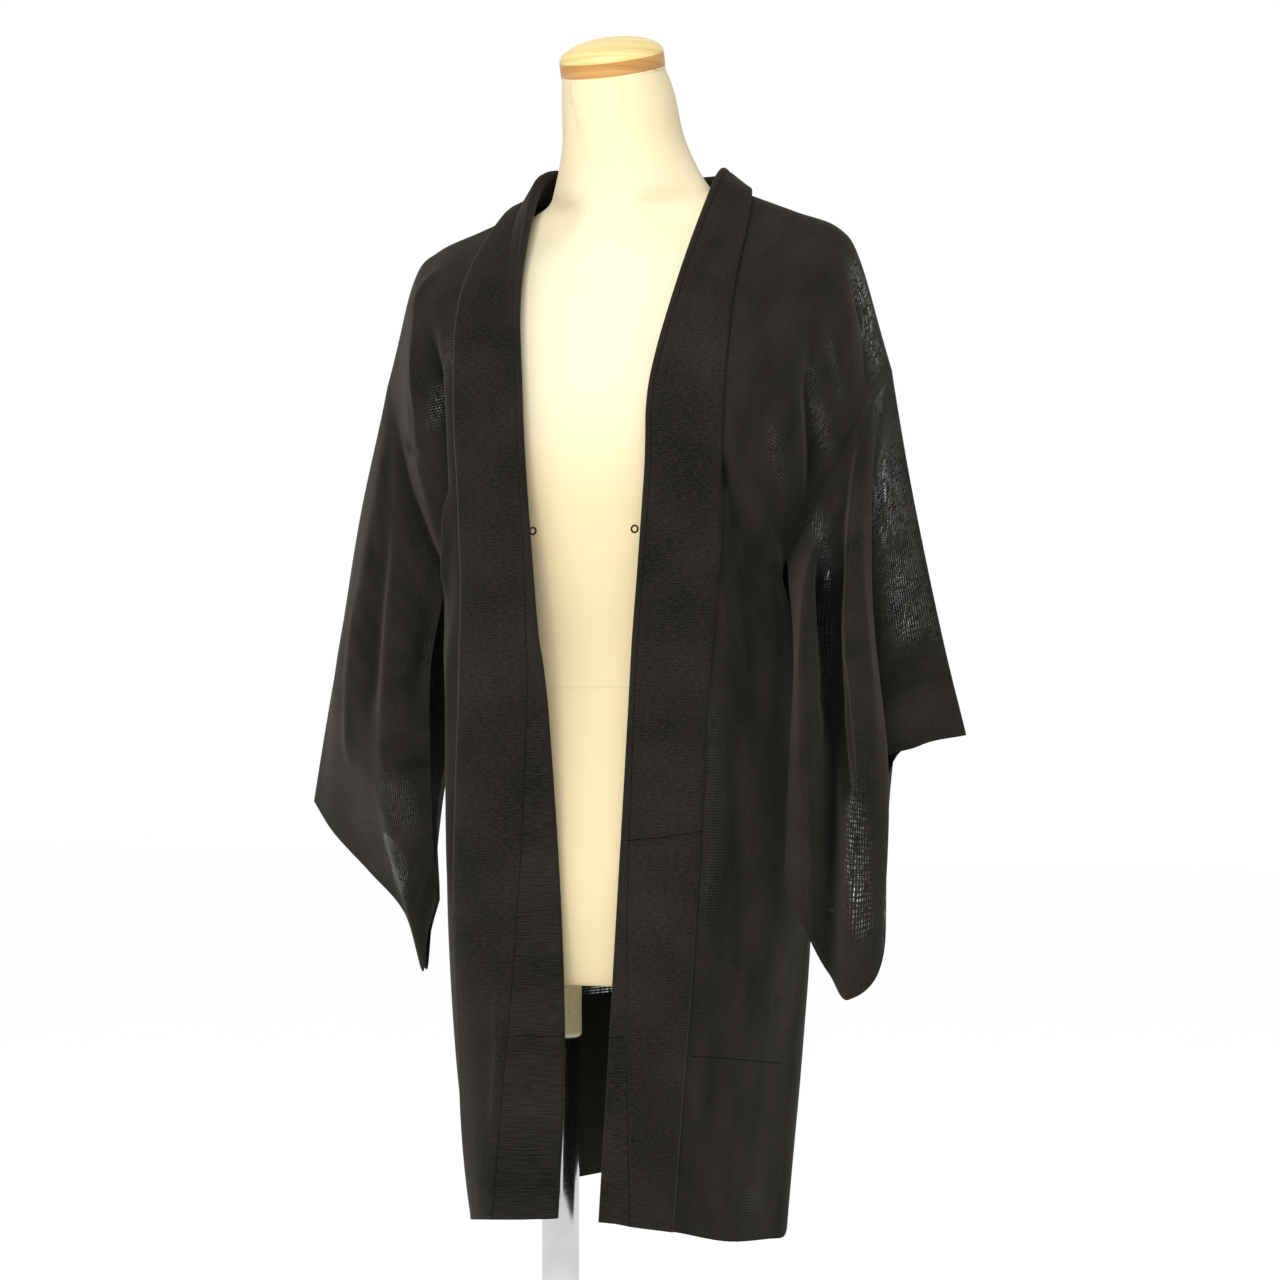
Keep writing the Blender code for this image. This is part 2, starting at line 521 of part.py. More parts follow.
def add_cap():
    """Wooden disc with a low dome, tipped forward on the neck."""
    dome = [(CAP_RADIUS * math.sin(a), CAP_RIM + CAP_DOME * math.cos(a))
            for a in [math.pi / 2 * k / 6 for k in range(6)]]
    profile = dome + [(CAP_RADIUS, CAP_RIM), (CAP_RADIUS, 0.0015), (CAP_RADIUS - 0.0015, 0.0), (0.0, 0.0)]
    cap = add_turned("form_cap", profile, "wood")
    cap.location = (0, NECK_Y, NECK_TOP + SEAM / math.cos(math.atan(NECK_TILT)))
    cap.rotation_euler = (math.atan(NECK_TILT), 0, 0)
    return cap


def add_stand():
    socket_top = TORSO_BOTTOM - SEAM
    socket_bottom = socket_top - SOCKET_HEIGHT
    socket = add_turned("form_socket", rounded(SOCKET_RADIUS, socket_bottom, socket_top, 0.003), "beige")
    boss_top = PLATE_THICKNESS + BOSS_HEIGHT
    pole = add_turned("form_pole", [(0, socket_bottom - SEAM), (POLE_RADIUS, socket_bottom - SEAM),
                                    (POLE_RADIUS, boss_top + SEAM), (0, boss_top + SEAM)], "steel")
    boss = add_turned("form_boss", rounded(BOSS_RADIUS, PLATE_THICKNESS + SEAM, boss_top, 0.004), "steel")
    for piece in (socket, pole, boss):
        piece.location = (POLE_X, POLE_Y, 0)
    add_turned("form_plate", rounded(PLATE_RADIUS, 0, PLATE_THICKNESS, 0.003), "steel", steps=48)


# ---------------------------------------------------------------- the whole object
def build_side(front, collar, sleeve, side, word):
    """Body length, gore and sleeve of one side; returns the collar's sections."""
    table, rows = body_rows(front, side)
    grid = body_grid(rows)
    add_sheet("body_" + word, grid, CLOTH)
    gore_top = row_index(table, "gore top")
    back_top = row_index(table, "gore top", place_from=len(front))
    front_edge = grid[gore_top::-1]
    add_sheet("gore_" + word, gore_grid(front_edge, grid[back_top:]), CLOTH)
    first = row_index(table, "armpit")
    last = row_index(table, "blade", place_from=len(front))
    add_sheet("sleeve_" + word, sleeve_grid(grid, sleeve, side, first, last), CLOTH)
    return collar_grid(rows, collar, table, side)


def build():
    for obj in list(bpy.data.objects):
        bpy.data.objects.remove(obj)
    add_form()
    add_cap()
    add_stand()
    left = build_side(FRONT_LEFT, COLLAR_LEFT, SLEEVE_LEFT, 1, "left")
    right = build_side(FRONT_RIGHT, COLLAR_RIGHT, SLEEVE_RIGHT, -1, "right")
    add_sheet("collar", left + right[-2::-1], BAND)
    add_loop("loop_left", left)
    add_loop("loop_right", right)


build()
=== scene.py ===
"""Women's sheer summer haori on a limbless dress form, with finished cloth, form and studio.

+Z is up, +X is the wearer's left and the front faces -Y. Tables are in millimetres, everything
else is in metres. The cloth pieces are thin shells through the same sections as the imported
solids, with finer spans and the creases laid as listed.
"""
import functools
import math

import bpy
from mathutils import Matrix, Vector
from mathutils.bvhtree import BVHTree


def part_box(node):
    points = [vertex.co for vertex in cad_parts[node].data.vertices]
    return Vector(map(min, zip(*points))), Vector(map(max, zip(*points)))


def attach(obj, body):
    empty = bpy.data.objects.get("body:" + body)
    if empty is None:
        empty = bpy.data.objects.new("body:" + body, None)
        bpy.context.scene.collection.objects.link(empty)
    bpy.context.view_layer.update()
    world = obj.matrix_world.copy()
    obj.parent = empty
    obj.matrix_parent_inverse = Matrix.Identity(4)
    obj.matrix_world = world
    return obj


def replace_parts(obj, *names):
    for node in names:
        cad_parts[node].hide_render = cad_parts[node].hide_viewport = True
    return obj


bl_info = {
    "name": "Haori on dress form",
    "version": (1, 0, 0),
    "blender": (4, 5, 0),
    "location": "View3D > Sidebar > Haori",
    "description": "Cuts and drapes a sheer haori over a dress form and lights it",
    "category": "Object",
}

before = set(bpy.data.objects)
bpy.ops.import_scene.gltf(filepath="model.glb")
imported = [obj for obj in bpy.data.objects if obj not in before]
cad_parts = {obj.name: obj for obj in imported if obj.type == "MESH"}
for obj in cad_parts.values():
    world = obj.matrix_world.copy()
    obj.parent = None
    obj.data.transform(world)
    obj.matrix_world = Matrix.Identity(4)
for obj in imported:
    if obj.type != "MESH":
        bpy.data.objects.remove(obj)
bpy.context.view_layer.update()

# ---------------------------------------------------------------- sizes shared by the pieces
MM = 1000                 # millimetres in a metre, for the tables
SIDES = ("left", "right")
SEAM = 0.0003             # gap between pieces that are sewn together
CENTRE_LEAN = 0.0003      # room for the walls to lean at the centre back seam
LEAD = 0.004              # first strip of a piece, flush with its neighbour at the seam
BAND = 0.0018             # the collar's folded thickness
SEAM_STEP = 0.0009        # drop at the line where the collar is sewn to the front's edge
SEWN_HALF = 0.001         # half the width of the groove along that line
SEWN_STATION = 2          # place of that groove among the collar's stations
AXIS_POINT = Vector((0, 0, 1.1))      # the collar faces away from this point
FORM_MIDDLE = Vector((0, 0, 1.0))     # the cover faces away from it, and the light aims at it
SAMPLES = 48              # straight pieces that stand for a section while it is measured
ROWS_PER_STEP = 9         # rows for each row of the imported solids
BODY_COLUMNS = 84
COLLAR_SPANS = 26
TURN_POINTS = 9
SLEEVE_ROWS = 112
SLEEVE_TAKE_UP = 3        # the first third of a sleeve takes up its own folds
GORE_SPANS = 10
FORM_ROWS_PER_RING = 6
NECK_TOP, NECK_Y = 1.3855, -0.0425    # where the neck is cut
WING_POWER = 9            # how thin the shoulders taper outside the round core
FACING_INSET = 0.0011     # a facing lies this far inside the cloth
LOOK_STEP = 8             # every eighth point tells which way a grid faces
TINY = 1e-9

# ---------------------------------------------------------------- tables of sections
# One row per section, from the front hem over the shoulder to the back hem. "steps" is the
# number of spans up to the next section. A section passes through five places, from its inner
# end (under the collar, or on the centre back seam) to its outer end (side seam or armhole).
SECTION_COLUMNS = ("name", "steps", "inner", "second", "middle", "fourth", "outer")
FRONT_LEFT = (
    ("hem", 4, (31, -110, 437), (50, -107, 434), (72, -78, 427), (95, -22, 413), (114, 40, 408)),
    ("skirt", 4, (38, -110, 560), (56, -110, 559), (85, -82, 556), (114, -30, 551), (128, 37, 548)),
    ("hip", 4, (50, -113, 690), (68, -113, 690), (103, -96, 689), (145, -40, 686), (148, 22, 685)),
    ("waist", 2, (62, -116, 860), (86, -114, 860), (118, -100, 860), (147, -50, 858),
     (150, 5, 858)),
    ("gore top", 2, (66, -118, 910), (90, -114, 910), (122, -96, 908), (148, -55, 903),
     (151, -12, 900)),
    ("slit", 3, (70, -119, 955), (95, -115, 955), (127, -92, 952), (148, -60, 945),
     (153, -30, 940)),
    ("armpit", 3, (78, -119, 1050), (102, -117, 1045), (132, -106, 1025), (150, -80, 1000),
     (156, -47, 975)),
    ("bust", 3, (82, -113, 1120), (108, -115, 1112), (140, -108, 1100), (174, -83, 1080),
     (195, -38, 1050)),
    ("chest", 4, (96, -76, 1205), (122, -83, 1199), (154, -84, 1188), (188, -68, 1166),
     (217, -24, 1105)),
    ("shoulder", 3, (98, 5, 1282), (146, 0, 1263.5), (183, 0, 1249), (202.5, 0, 1224),
     (230, 0, 1137)),
)
FRONT_RIGHT = (
    ("hem", 4, (28, -110, 436), (62, -109, 434), (98, -88, 429), (125, -40, 421.5), (114, 40, 413)),
    ("skirt", 4, (22, -110, 560), (60, -111, 560), (106, -92, 558), (146, -40, 553),
     (128, 37, 548)),
    ("hip", 4, (24, -113, 690), (66, -116, 690), (114, -104, 688), (149, -50, 686), (147, 22, 685)),
    ("waist", 2, (35, -116, 860), (74, -117, 860), (115, -106, 860), (150, -55, 858),
     (151, 5, 858)),
    ("gore top", 2, (41, -118, 910), (77, -118, 910), (117, -104, 908), (149, -60, 903),
     (151, -12, 900)),
    ("slit", 3, (46, -119, 955), (80, -118, 955), (118, -102, 952), (147, -64, 945),
     (153, -30, 940)),
    ("armpit", 3, (53, -119, 1050), (83, -119, 1046), (120, -109, 1030), (147, -82, 1004),
     (157, -49, 975)),
    ("bust", 3, (61, -113, 1120), (92, -117, 1114), (128, -111, 1102), (166, -86, 1084),
     (190, -42, 1050)),
    ("chest", 4, (78, -84, 1205), (108, -90, 1201), (144, -90, 1192), (177, -70, 1170),
     (213, -26, 1108)),
    ("shoulder", 3, (98, 5, 1282), (146, 0, 1263.5), (184, 0, 1249.5), (205.5, 0, 1227),
     (234, 0, 1139)),
)
BACK = (
    ("neck side", 2, (70, 48, 1281), (110, 45, 1265), (150, 46, 1246), (176, 42, 1200),
     (219, 18, 1110)),
    ("nape side", 1, (22, 64, 1279), (74.5, 65, 1270), (128, 67, 1249), (164, 62, 1184),
     (211, 29, 1084)),
    ("nape", 4, (0, 68, 1277), (60, 71, 1265), (118, 74, 1238), (158, 70, 1165), (204, 34, 1065)),
    ("blade", 4, (0, 88, 1170), (50, 90, 1155), (98, 92, 1110), (138, 82, 1040), (158, 47, 975)),
    ("gore top", 2, (0, 100, 1000), (45, 104, 985), (88, 101, 950), (122, 80, 915), (141, 33, 900)),
    ("waist", 4, (0, 102, 880), (45, 107, 876), (86, 103, 868), (120, 85, 862), (139, 38, 860)),
    ("hip", 4, (0, 119, 700), (42, 127, 698), (78, 120, 695), (106, 106, 692), (125, 74, 690)),
    ("skirt", 4, (0, 143, 565), (36, 153, 563), (66, 142, 560), (93, 128, 557), (112, 95, 556)),
    ("hem", 0, (0, 158, 451), (30, 170, 449), (56, 156, 446), (79, 141, 443), (96, 100, 441)),
)

# Collar: where it turns over, how wide the layer that faces out is, and how far in from the
# turn the front's edge is sewn to it. Same sections as the body, up to the nape.
COLLAR_COLUMNS = ("name", "fold", "width", "sewn_at", "lift")
COLLAR_LEFT = (
    ("hem", (18, -110.5, 437), 62, 26.5, 4.2),
    ("skirt", (26, -110.5, 560), 63, 18, 4.2),
    ("hip", (35.5, -113.5, 690), 63.5, 8.5, 4.2),
    ("waist", (47.5, -116.5, 860), 63, 4, 4.2),
    ("gore top", (51.3, -118.5, 910), 63.5, 4, 4.2),
    ("slit", (55.5, -119.5, 955), 64, 4, 4.2),
    ("armpit", (63, -120, 1050), 66, 4, 4.2),
    ("bust", (64.5, -113.5, 1120), 64, 4, 4.2),
    ("chest", (75.5, -79, 1210), 52, 4, 4.2),
    ("shoulder", (72.5, 0, 1297), 34, 4, 5.5),
    ("neck side", (57, 42, 1306), 23, 4, 7.5),
    ("nape side", (21, 55.5, 1308), 23, 4, 7.5),
    ("nape", (0, 59, 1309), 24, 4, 7.5),
)
COLLAR_RIGHT = (
    ("hem", (17.2, -110.5, 438), 130, 62.5, 4.6),
    ("skirt", (11.4, -110.5, 560), 119, 52, 4.6),
    ("hip", (13.2, -113.5, 690), 103, 36.5, 4.4),
    ("waist", (24.1, -116.5, 860), 82, 16.5, 4.2),
    ("gore top", (30.7, -118.5, 910), 75, 10, 4.2),
    ("slit", (34.7, -119.5, 955), 70, 6, 4.2),
    ("armpit", (42, -120, 1050), 65, 4, 4.2),
    ("bust", (48.5, -113.5, 1120), 61, 4, 4.2),
    ("chest", (62, -86, 1208), 53, 4, 4.5),
    ("shoulder", (80, 0, 1306), 42, 4, 9),
    ("neck side", (58, 42, 1308), 23, 4, 7.5),
    ("nape side", (21, 55.5, 1309), 23, 4, 7.5),
    ("nape", (0, 59, 1309), 24, 4, 7.5),
)

# Sleeves hang with no arm in them. One row per fold line from the slit edge out to the top
# fold: how far round the armhole it starts, two places it passes on the front layer, two on
# the back layer, where both end, and how far apart the layers are there (sewn or cuff).
SLEEVE_COLUMNS = ("fold", "start", "front_1", "front_2", "back_1", "back_2", "end", "apart")
SLEEVE_LEFT = (
    ("slit edge", 0.0, (178, -85, 894), (175, -88, 798), (168, 30, 900), (174, -30, 800),
     (169, -83, 713), 6),
    ("inner roll", 0.1, (192, -98, 930), (199, -108, 800), (176, 40, 910), (186, -28, 790),
     (196, -100, 674), 7),
    ("valley", 0.2, (203, -62, 930), (206, -66, 800), (184, 52, 920), (198, -4, 785),
     (209, -88, 644), 7),
    ("outer roll", 0.27, (222, -80, 950), (236, -100, 800), (192, 60, 930), (206, 18, 790),
     (230, -98, 624), 6),
    ("roll edge", 0.34, (232, -50, 950), (252, -66, 800), (202, 66, 940), (208, 42, 800),
     (249, -72, 660), 6),
    ("under roll", 0.4, (214, -22, 960), (222, -28, 870), (214, 66, 955), (220, 65, 870),
     (227, -36, 796), 41),
    ("cuff edge", 0.45, (233, -2, 1000), (248, -2, 900), (230, 44, 990), (245, 56, 900),
     (254, 0, 824), 52),
    ("top fold", 0.5, (246, 14, 1020), (267, 24, 912), (246, 14, 1020), (267, 24, 912),
     (285, 30, 833), 0),
)
SLEEVE_RIGHT = (
    ("slit edge", 0.0, (160, -64, 880), (155.5, -72, 780), (168, 35, 900), (172, -22, 785),
     (151.5, -69, 692), 6),
    ("inner roll", 0.12, (178, -78, 900), (170, -87, 770), (178, 50, 910), (180, 0, 780),
     (159, -71, 664), 6),
    ("tip", 0.22, (195, -77, 900), (186, -90, 760), (188, 60, 920), (194, 24, 770),
     (165.5, -69, 632), 7),
    ("cuff end", 0.3, (212, -66, 920), (212, -76, 800), (200, 68, 930), (212, 48, 780),
     (190, -56, 680), 7),
    ("ridge", 0.37, (232, -55, 950), (240, -56, 830), (222, 70, 950), (236, 78, 820),
     (235, -35, 713), 70),
    ("front cuff", 0.43, (252, -25, 980), (275, -22, 870), (248, 50, 980), (270, 70, 860),
     (285, -5, 744), 60),
    ("top fold", 0.5, (271, 15, 1020), (301, 28, 895), (271, 15, 1020), (301, 28, 895),
     (325, 30, 771), 0),
)
CUFF_LEAN = Vector((0, 1, 0.15))    # the way the back layer of the cuff is set off

# Dress form: each level section's half width, half width of its round core without the
# shoulders, how far it reaches to the front and back, where its widest line lies, and how far
# it tips forward, in thousandths of the tilt of the neck.
FORM_COLUMNS = ("z", "half_width", "core", "front_y", "back_y", "widest_y", "tilt")
FORM = (
    (626.5, 126, 126, -90, 70, -10, 0),
    (630, 132, 132, -97, 77, -10, 0),
    (660, 137, 137, -102, 82, -10, 0),
    (720, 140, 140, -106, 86, -10, 0),
    (800, 134, 134, -100, 80, -10, 0),
    (890, 119, 119, -91, 73, -8, 0),
    (960, 126, 126, -99, 77, -8, 0),
    (1050, 145, 145, -112, 86, -8, 0),
    (1100, 156, 152, -112, 89, -6, 0),
    (1160, 181, 154, -102, 84, 0, 0),
    (1200, 196, 130, -91, 77, 0, 0),
    (1225, 195, 105, -83, 70, 2, 0),
    (1242, 184.2, 80, -76, 64, 8, 0),
    (1250, 173, 71, -72, 60, 10, 0),
    (1257, 161.5, 62, -69, 57, 12, 0),
    (1266, 136, 56, -66, 53, 13, 0),
    (1274, 105, 55, -65, 50, 12, 0),
    (1282, 80, 57, -65, 47, 2, 0),
    (1293, 70, 60, -66, 44, -6, 100),
    (1308, 61.5, 58, -68, 38, -13, 300),
    (1333, 51.5, 51.5, -73, 27, -23, 600),
    (1363, 48, 48, -79.5, 15.5, -32, 900),
    (1385.5, 43.4, 43.4, -85.9, 0.9, -42.5, 1000),
)
FORM_SIDES, FORM_FINE, FORM_REPEAT = 28, 4, 3
FORM_INSET = 0.0006
BLEND_LOW, BLEND_HIGH = 1.20, 1.34    # the stretch of the cover where shoulders run into the neck

# ---------------------------------------------------------------- folds laid as listed
# A ridge stands out by its depth, and a trough has a depth below nothing. A step is raised on
# the left of its way and sunk on the right, as seen from outside. Each row: kind, width, depth
# and the places that it passes.
FOLDS = {
    "left": (
        ("ridge", 14, 5, ((158, -56, 1232), (166, -80, 1190), (173, -90, 1151), (174, -90, 1103),
         (172, -80, 1055), (165, -62, 1010))),
        ("ridge", 18, -15, ((186, -62, 1178), (192, -69, 1120), (191, -60, 1079), (189, -50, 1041),
         (193, -55, 999), (199, -63, 959), (201, -63, 910), (206, -70, 862))),
        ("ridge", 14, -6, ((204, -68, 880), (212, -74, 830), (226, -92, 770))),
        ("ridge", 14, 4, ((200, -34, 1212), (207, -38, 1165), (210, -38, 1110), (217, -44, 1050),
         (228, -66, 974), (238, -78, 870), (246, -88, 770))),
        ("ridge", 10, -5, ((208, -18, 1205), (217, -19, 1160), (222, -22, 1110))),
        ("step", 17, 10, ((127, -114, 1062), (140, -110, 1030), (149, -96, 1003), (154, -78, 979),
         (153, -56, 962))),
        ("ridge", 24, -10, ((126, -112, 1024), (134, -98, 992), (141, -84, 955), (144, -73, 900),
         (142, -70, 840))),
        ("ridge", 14, 3.5, ((108, -108, 900), (113, -97, 790), (106, -92, 670), (100, -80, 600))),
        ("ridge", 16, -4, ((126, -90, 860), (127, -78, 740), (119, -62, 620))),
        ("ridge", 10, -2, ((118, -70, 655), (130, -40, 628), (138, 0, 606))),
        ("ridge", 14, -4, ((214, -82, 900), (226, -94, 830), (240, -100, 770), (244, -100, 720))),
        ("ridge", 22, -6, ((60, 106, 1060), (64, 108, 900), (56, 128, 700), (44, 150, 540))),
        ("ridge", 20, 5, ((100, 96, 1040), (98, 98, 880), (86, 112, 720))),
        ("step", 22, -7, ((100, 94, 1070), (126, 80, 1010), (148, 52, 965))),
        ("ridge", 18, -8, ((176, 56, 1120), (182, 52, 1050), (190, 56, 990), (196, 62, 900),
         (214, 46, 800))),
        ("ridge", 16, 5, ((196, 38, 1110), (206, 46, 1030), (222, 66, 930), (232, 62, 850))),
    ),
    "right": (
        ("ridge", 14, 6, ((-160, -45, 1230), (-170, -72, 1200), (-167, -88, 1173),
         (-163, -96, 1130), (-161, -102, 1090), (-166, -88, 1040))),
        ("ridge", 20, -17, ((-148, -98, 1180), (-141, -105, 1130), (-137, -107, 1090),
         (-137, -103, 1055), (-145, -92, 1013), (-152, -78, 975))),
        ("step", 14, 6, ((-119, -111, 1040), (-127, -105, 1020), (-134, -99, 998), (-140, -88, 970),
         (-139, -85, 945))),
        ("ridge", 10, -3, ((-193, -46, 1076), (-172, -80, 1072), (-150, -100, 1060))),
        ("ridge", 18, 4, ((-122, -98, 930), (-126, -92, 800), (-120, -85, 680))),
        ("ridge", 16, -4, ((-98, -108, 900), (-96, -106, 760), (-92, -102, 620))),
        ("ridge", 20, -6, ((-52, 108, 1040), (-58, 108, 880), (-50, 132, 680), (-40, 152, 530))),
        ("ridge", 22, 5, ((-96, 98, 1020), (-92, 100, 860), (-80, 118, 700))),
        ("step", 24, 7, ((-96, 96, 1080), (-122, 84, 1020), (-148, 54, 968))),
        ("ridge", 18, 5, ((-192, -45, 1050), (-194, -70, 960), (-190, -84, 870), (-184, -88, 780))),
        ("ridge", 20, -7, ((-210, -46, 1020), (-216, -62, 930), (-212, -72, 840))),
        ("ridge", 14, -8, ((-158, -48, 985), (-162, -58, 930), (-168, -76, 860))),
        ("ridge", 18, 4, ((-236, -40, 960), (-242, -50, 870), (-246, -46, 800))),
        ("ridge", 20, -7, ((-196, 44, 1110), (-208, 50, 1050), (-222, 60, 1000), (-232, 72, 900),
         (-236, 62, 800))),
        ("ridge", 16, 4, ((-246, 50, 980), (-258, 62, 880), (-262, 56, 800))),
    ),
    "collar": (
        ("ridge", 7, -2.2, ((44, -118, 748), (76, -117, 751), (106, -107, 756))),
        ("ridge", 12, 1.6, ((46, -118, 737), (78, -116, 740), (104, -106, 744))),
        ("ridge", 7, 1.8, ((46, -118, 758), (78, -116, 761), (104, -106, 765))),
        ("ridge", 9, 3, ((-70, -116, 628), (-71, -114, 570), (-78, -110, 505))),
        ("ridge", 7, -1.8, ((-30, -118, 751), (-60, -117, 749), (-94, -112, 752))),
    ),
}
SUBDIVIDE = 4             # straight pieces for each span of a hand-laid line
SOFTNESS = 2.5            # how fast a fold dies away to its sides
STEP_PEAK = math.exp(-0.5) / math.sqrt(2 * SOFTNESS)    # a step's height before it is scaled
END_RISE, END_LEVEL = 5.0, 0.12    # a fold rises from its ends
SEAM_COLUMNS = 4          # columns at a sewn edge over which folds die away
RIPPLE = 0.0008           # how far hanging cloth strays from a smooth fall
HOLLOW_COLUMNS, HOLLOW_ROWS, HOLLOW_DEPTH = 6, 5, 0.013    # reach and depth of a hollow, whose shade is painted into the cloth's colour
# Slight unevenness of hanging cloth: waves per metre across and along, and their start
RIPPLES = ((3.1, 1.3, 0.4), (-2.2, 4.6, 1.9), (5.4, -0.9, 3.3))

# ---------------------------------------------------------------- how open the weave lies
CLOSED, WIDEST = 0.012, 2.0    # the weave's opening where nothing stretches it
# Stretches of each piece where its weave stands open and its painted glint shows: reach, amount and
# places
OPEN = {
    "length_left": (
        (14, 1.9, ((200, -16, 1228), (209, -12, 1197), (217, -13, 1164), (223, -12, 1130))),
        (30, 1.3, ((178, 36, 1230), (197, 22, 1201), (204, 22, 1168), (211, 22, 1128),
         (197, 40, 1090))),
        (7, 0.8, ((183, -69, 1143), (183, -58, 1117), (187, -50, 1089), (192, -40, 1061))),
        (5, 0.6, ((197, -56, 1158), (200, -50, 1130), (203, -44, 1103))),
        (8, 0.3, ((160, -96, 1090), (163, -90, 1060), (163, -80, 1030))),
        (26, 1.0, ((138, 82, 1160), (128, 86, 1100), (130, 84, 1040), (149, 63, 975))),
        (14, 0.22, ((112, -104, 870), (113, -94, 780), (104, -92, 676))),
        (14, 0.5, ((104, -6, 454), (110, 12, 440))),
        (22, 0.7, ((15, 140, 606), (60, 136, 606), (95, 122, 604))),
    ),
    "length_right": (
        (10, 0.9, ((-117, -107, 1165), (-121, -111, 1140), (-137, -91, 1114), (-143, -96, 1088))),
        (28, 0.9, ((-194, 30, 1170), (-201, 33, 1124), (-205, 34, 1080))),
        (22, 0.7, ((-15, 140, 606), (-60, 136, 606), (-100, 120, 604))),
    ),
    "bag_sleeve_left": (
        (20, 1.6, ((224, -12, 1145), (225, -8, 1100), (226, -4, 1050), (228, -4, 990))),
        (20, 0.9, ((235, -4, 985), (242, -1, 945), (243, -4, 905))),
        (9, 0.9, ((240, 4, 1040), (252, 10, 970), (262, 18, 905))),
        (40, 1.9, ((210, 30, 1080), (205, 45, 1020), (211, 64, 975), (217, 71, 940),
         (210, 68, 905))),
        (14, 1.0, ((220, -92, 815), (231, -98, 760), (237, -99, 715), (243, -96, 670))),
        (36, 1.9, ((200, -10, 800), (208, -24, 745), (216, -40, 700), (226, -58, 665))),
        (9, 1.3, ((181, -42, 1016), (191, -55, 987), (195, -52, 961))),
    ),
    "bag_sleeve_right": (
        (16, 0.9, ((-190, -89, 800), (-176, -86, 775), (-178, -86, 750))),
        (30, 0.4, ((-257, -31, 775), (-212, -67, 763), (-178, -86, 740))),
        (24, 0.5, ((-230, -40, 725), (-199, -64, 720), (-174, -83, 701))),
    ),
}

# ---------------------------------------------------------------- pressed and sewn lines
# Name of each line, the piece it lies on, its width and the places that it passes; the line along
# the pressed cross crease is painted shade
LINES = (
    ("cross_crease", "collar_band", 0.6, ((44, -118, 748), (76, -117, 751), (108, -107, 756))),
    ("hem_line_left", "length_left", 0.6, ((87, -82, 572), (111, -45, 567), (127, 20, 558))),
    ("hem_line_right", "length_right", 0.6, ((-90, -95, 575), (-122, -50, 568), (-128, 20, 558))),
    ("hem_line_back_left", "length_left", 0.6, ((6, 150, 604), (50, 150, 600), (100, 112, 592))),
    ("hem_line_back_right", "length_right", 0.6, ((-6, 150, 604), (-50, 150, 600),
     (-100, 112, 592))),
    ("collar_end_left", "collar_band", 0.7, ((28, -118, 588), (43, -117, 588))),
    ("collar_end_right", "collar_band", 0.7, ((-12, -118, 587), (-56, -118, 586))),
)

# ---------------------------------------------------------------- flat cuts of the cloth
HEM_DEPTH = {"front": 0.150, "back": 0.158}
CUFF_DEPTH = 0.072
TURNING = 0.009           # cloth turned in at a seam
OVERLAP = 0.0025          # how far a turning passes under its neighbour
TURNING_SPANS = 4
EDGE_ROLL = (0.0012, 0.0004)    # how far the collar's last columns roll in
CUFF_SHARE = {"left": (0.41, 0.59), "right": (0.31, 0.68)}    # share of the way round the armhole

# ---------------------------------------------------------------- form, stand and studio
NECK_TILT = math.tan(math.radians(17.5))
NECK_RIM, NECK_RIM_CORD = 0.0431, 0.0009
CAP_RADIUS, CAP_RIM, CAP_DOME = 0.0439, 0.012, 0.0163
CAP_EDGE = ((0, CAP_RIM), (0, 0.0016), (0.0005, 0.0005), (0.0016, 0.0))    # inset and height
WAIST_LINE = (0.8708, 0.8716, 0.8722, 0.8730)    # heights between which the waist seam shows
BLEND_PASSES = 12
LOOP_CORD, LOOP_TWISTS = 0.0009, 9
CORD_SIDE = Vector((0.21, 0.93, 0.29)).normalized()    # no cord here runs this way
FLATNESS = 0.12           # how far a cord's section strays from round
COLLAR_WALL = 0.0009
COLLAR_GROOVE = 3 + TURN_POINTS + 1    # column of the collar's grid at its sewn groove
COLLAR_THREAD = 0.0003
STITCHES_PER_SPAN, STITCH_SIDES = 14, 6
RING_STEPS, RING_SIDES = 96, 12
TURNED_SIDES, DOME_STEPS, CORNER_STEPS = 96, 16, 5
SHARP_ANGLE = math.radians(50)
SOCKET_PAINTED_HIGHLIGHT = 0.004
FLOOR_REACH = 14.0
KEY_PLACE, KEY_SIZE = (0.45, -1.8, 2.5), 1.7
CAMERA_TURN = 24          # degrees round from straight ahead
CAMERA_DISTANCE, CAMERA_HEIGHT = 3.0, 0.87
SENSOR = 36
CAMERA_LENS = 3550 / 1280 * SENSOR
CAMERA_SHIFT = (6 / 1280, 50 / 1280)
TWO_PI = 2 * math.pi


# ---------------------------------------------------------------- helpers for the sections
def at(point, side=1):
    """A place of the tables, in metres, with its way across the body turned for the side."""
    return Vector((point[0] * side / MM, point[1] / MM, point[2] / MM))


def records(columns, table):
    return [dict(zip(columns, row)) for row in table]


def spline(values, position):
    """Catmull-Rom value at a real-valued position along a list of vectors or numbers."""
    last = len(values) - 1
    index = min(int(position), last - 1)
    t = position - index
    p1, p2 = values[index], values[index + 1]
    p0 = values[index - 1] if index > 0 else p1 * 2 - p2
    p3 = values[index + 2] if index + 2 <= last else p2 * 2 - p1
    return (p1 * 2 + (p2 - p0) * t + (p0 * 2 - p1 * 5 + p2 * 4 - p3) * t ** 2
            + (p1 * 3 - p0 - p2 * 3 + p3) * t ** 3) * 0.5


def positions(steps):
    """Real-valued positions along a table whose rows are split into steps."""
    places = [index + part / count for index, count in enumerate(steps) for part in range(count)]
    return places + [len(steps)]


def bezier(points, t):
    s = 1 - t
    a, b, c, d = points
    return a * s ** 3 + b * 3 * s * s * t + c * 3 * s * t * t + d * t ** 3


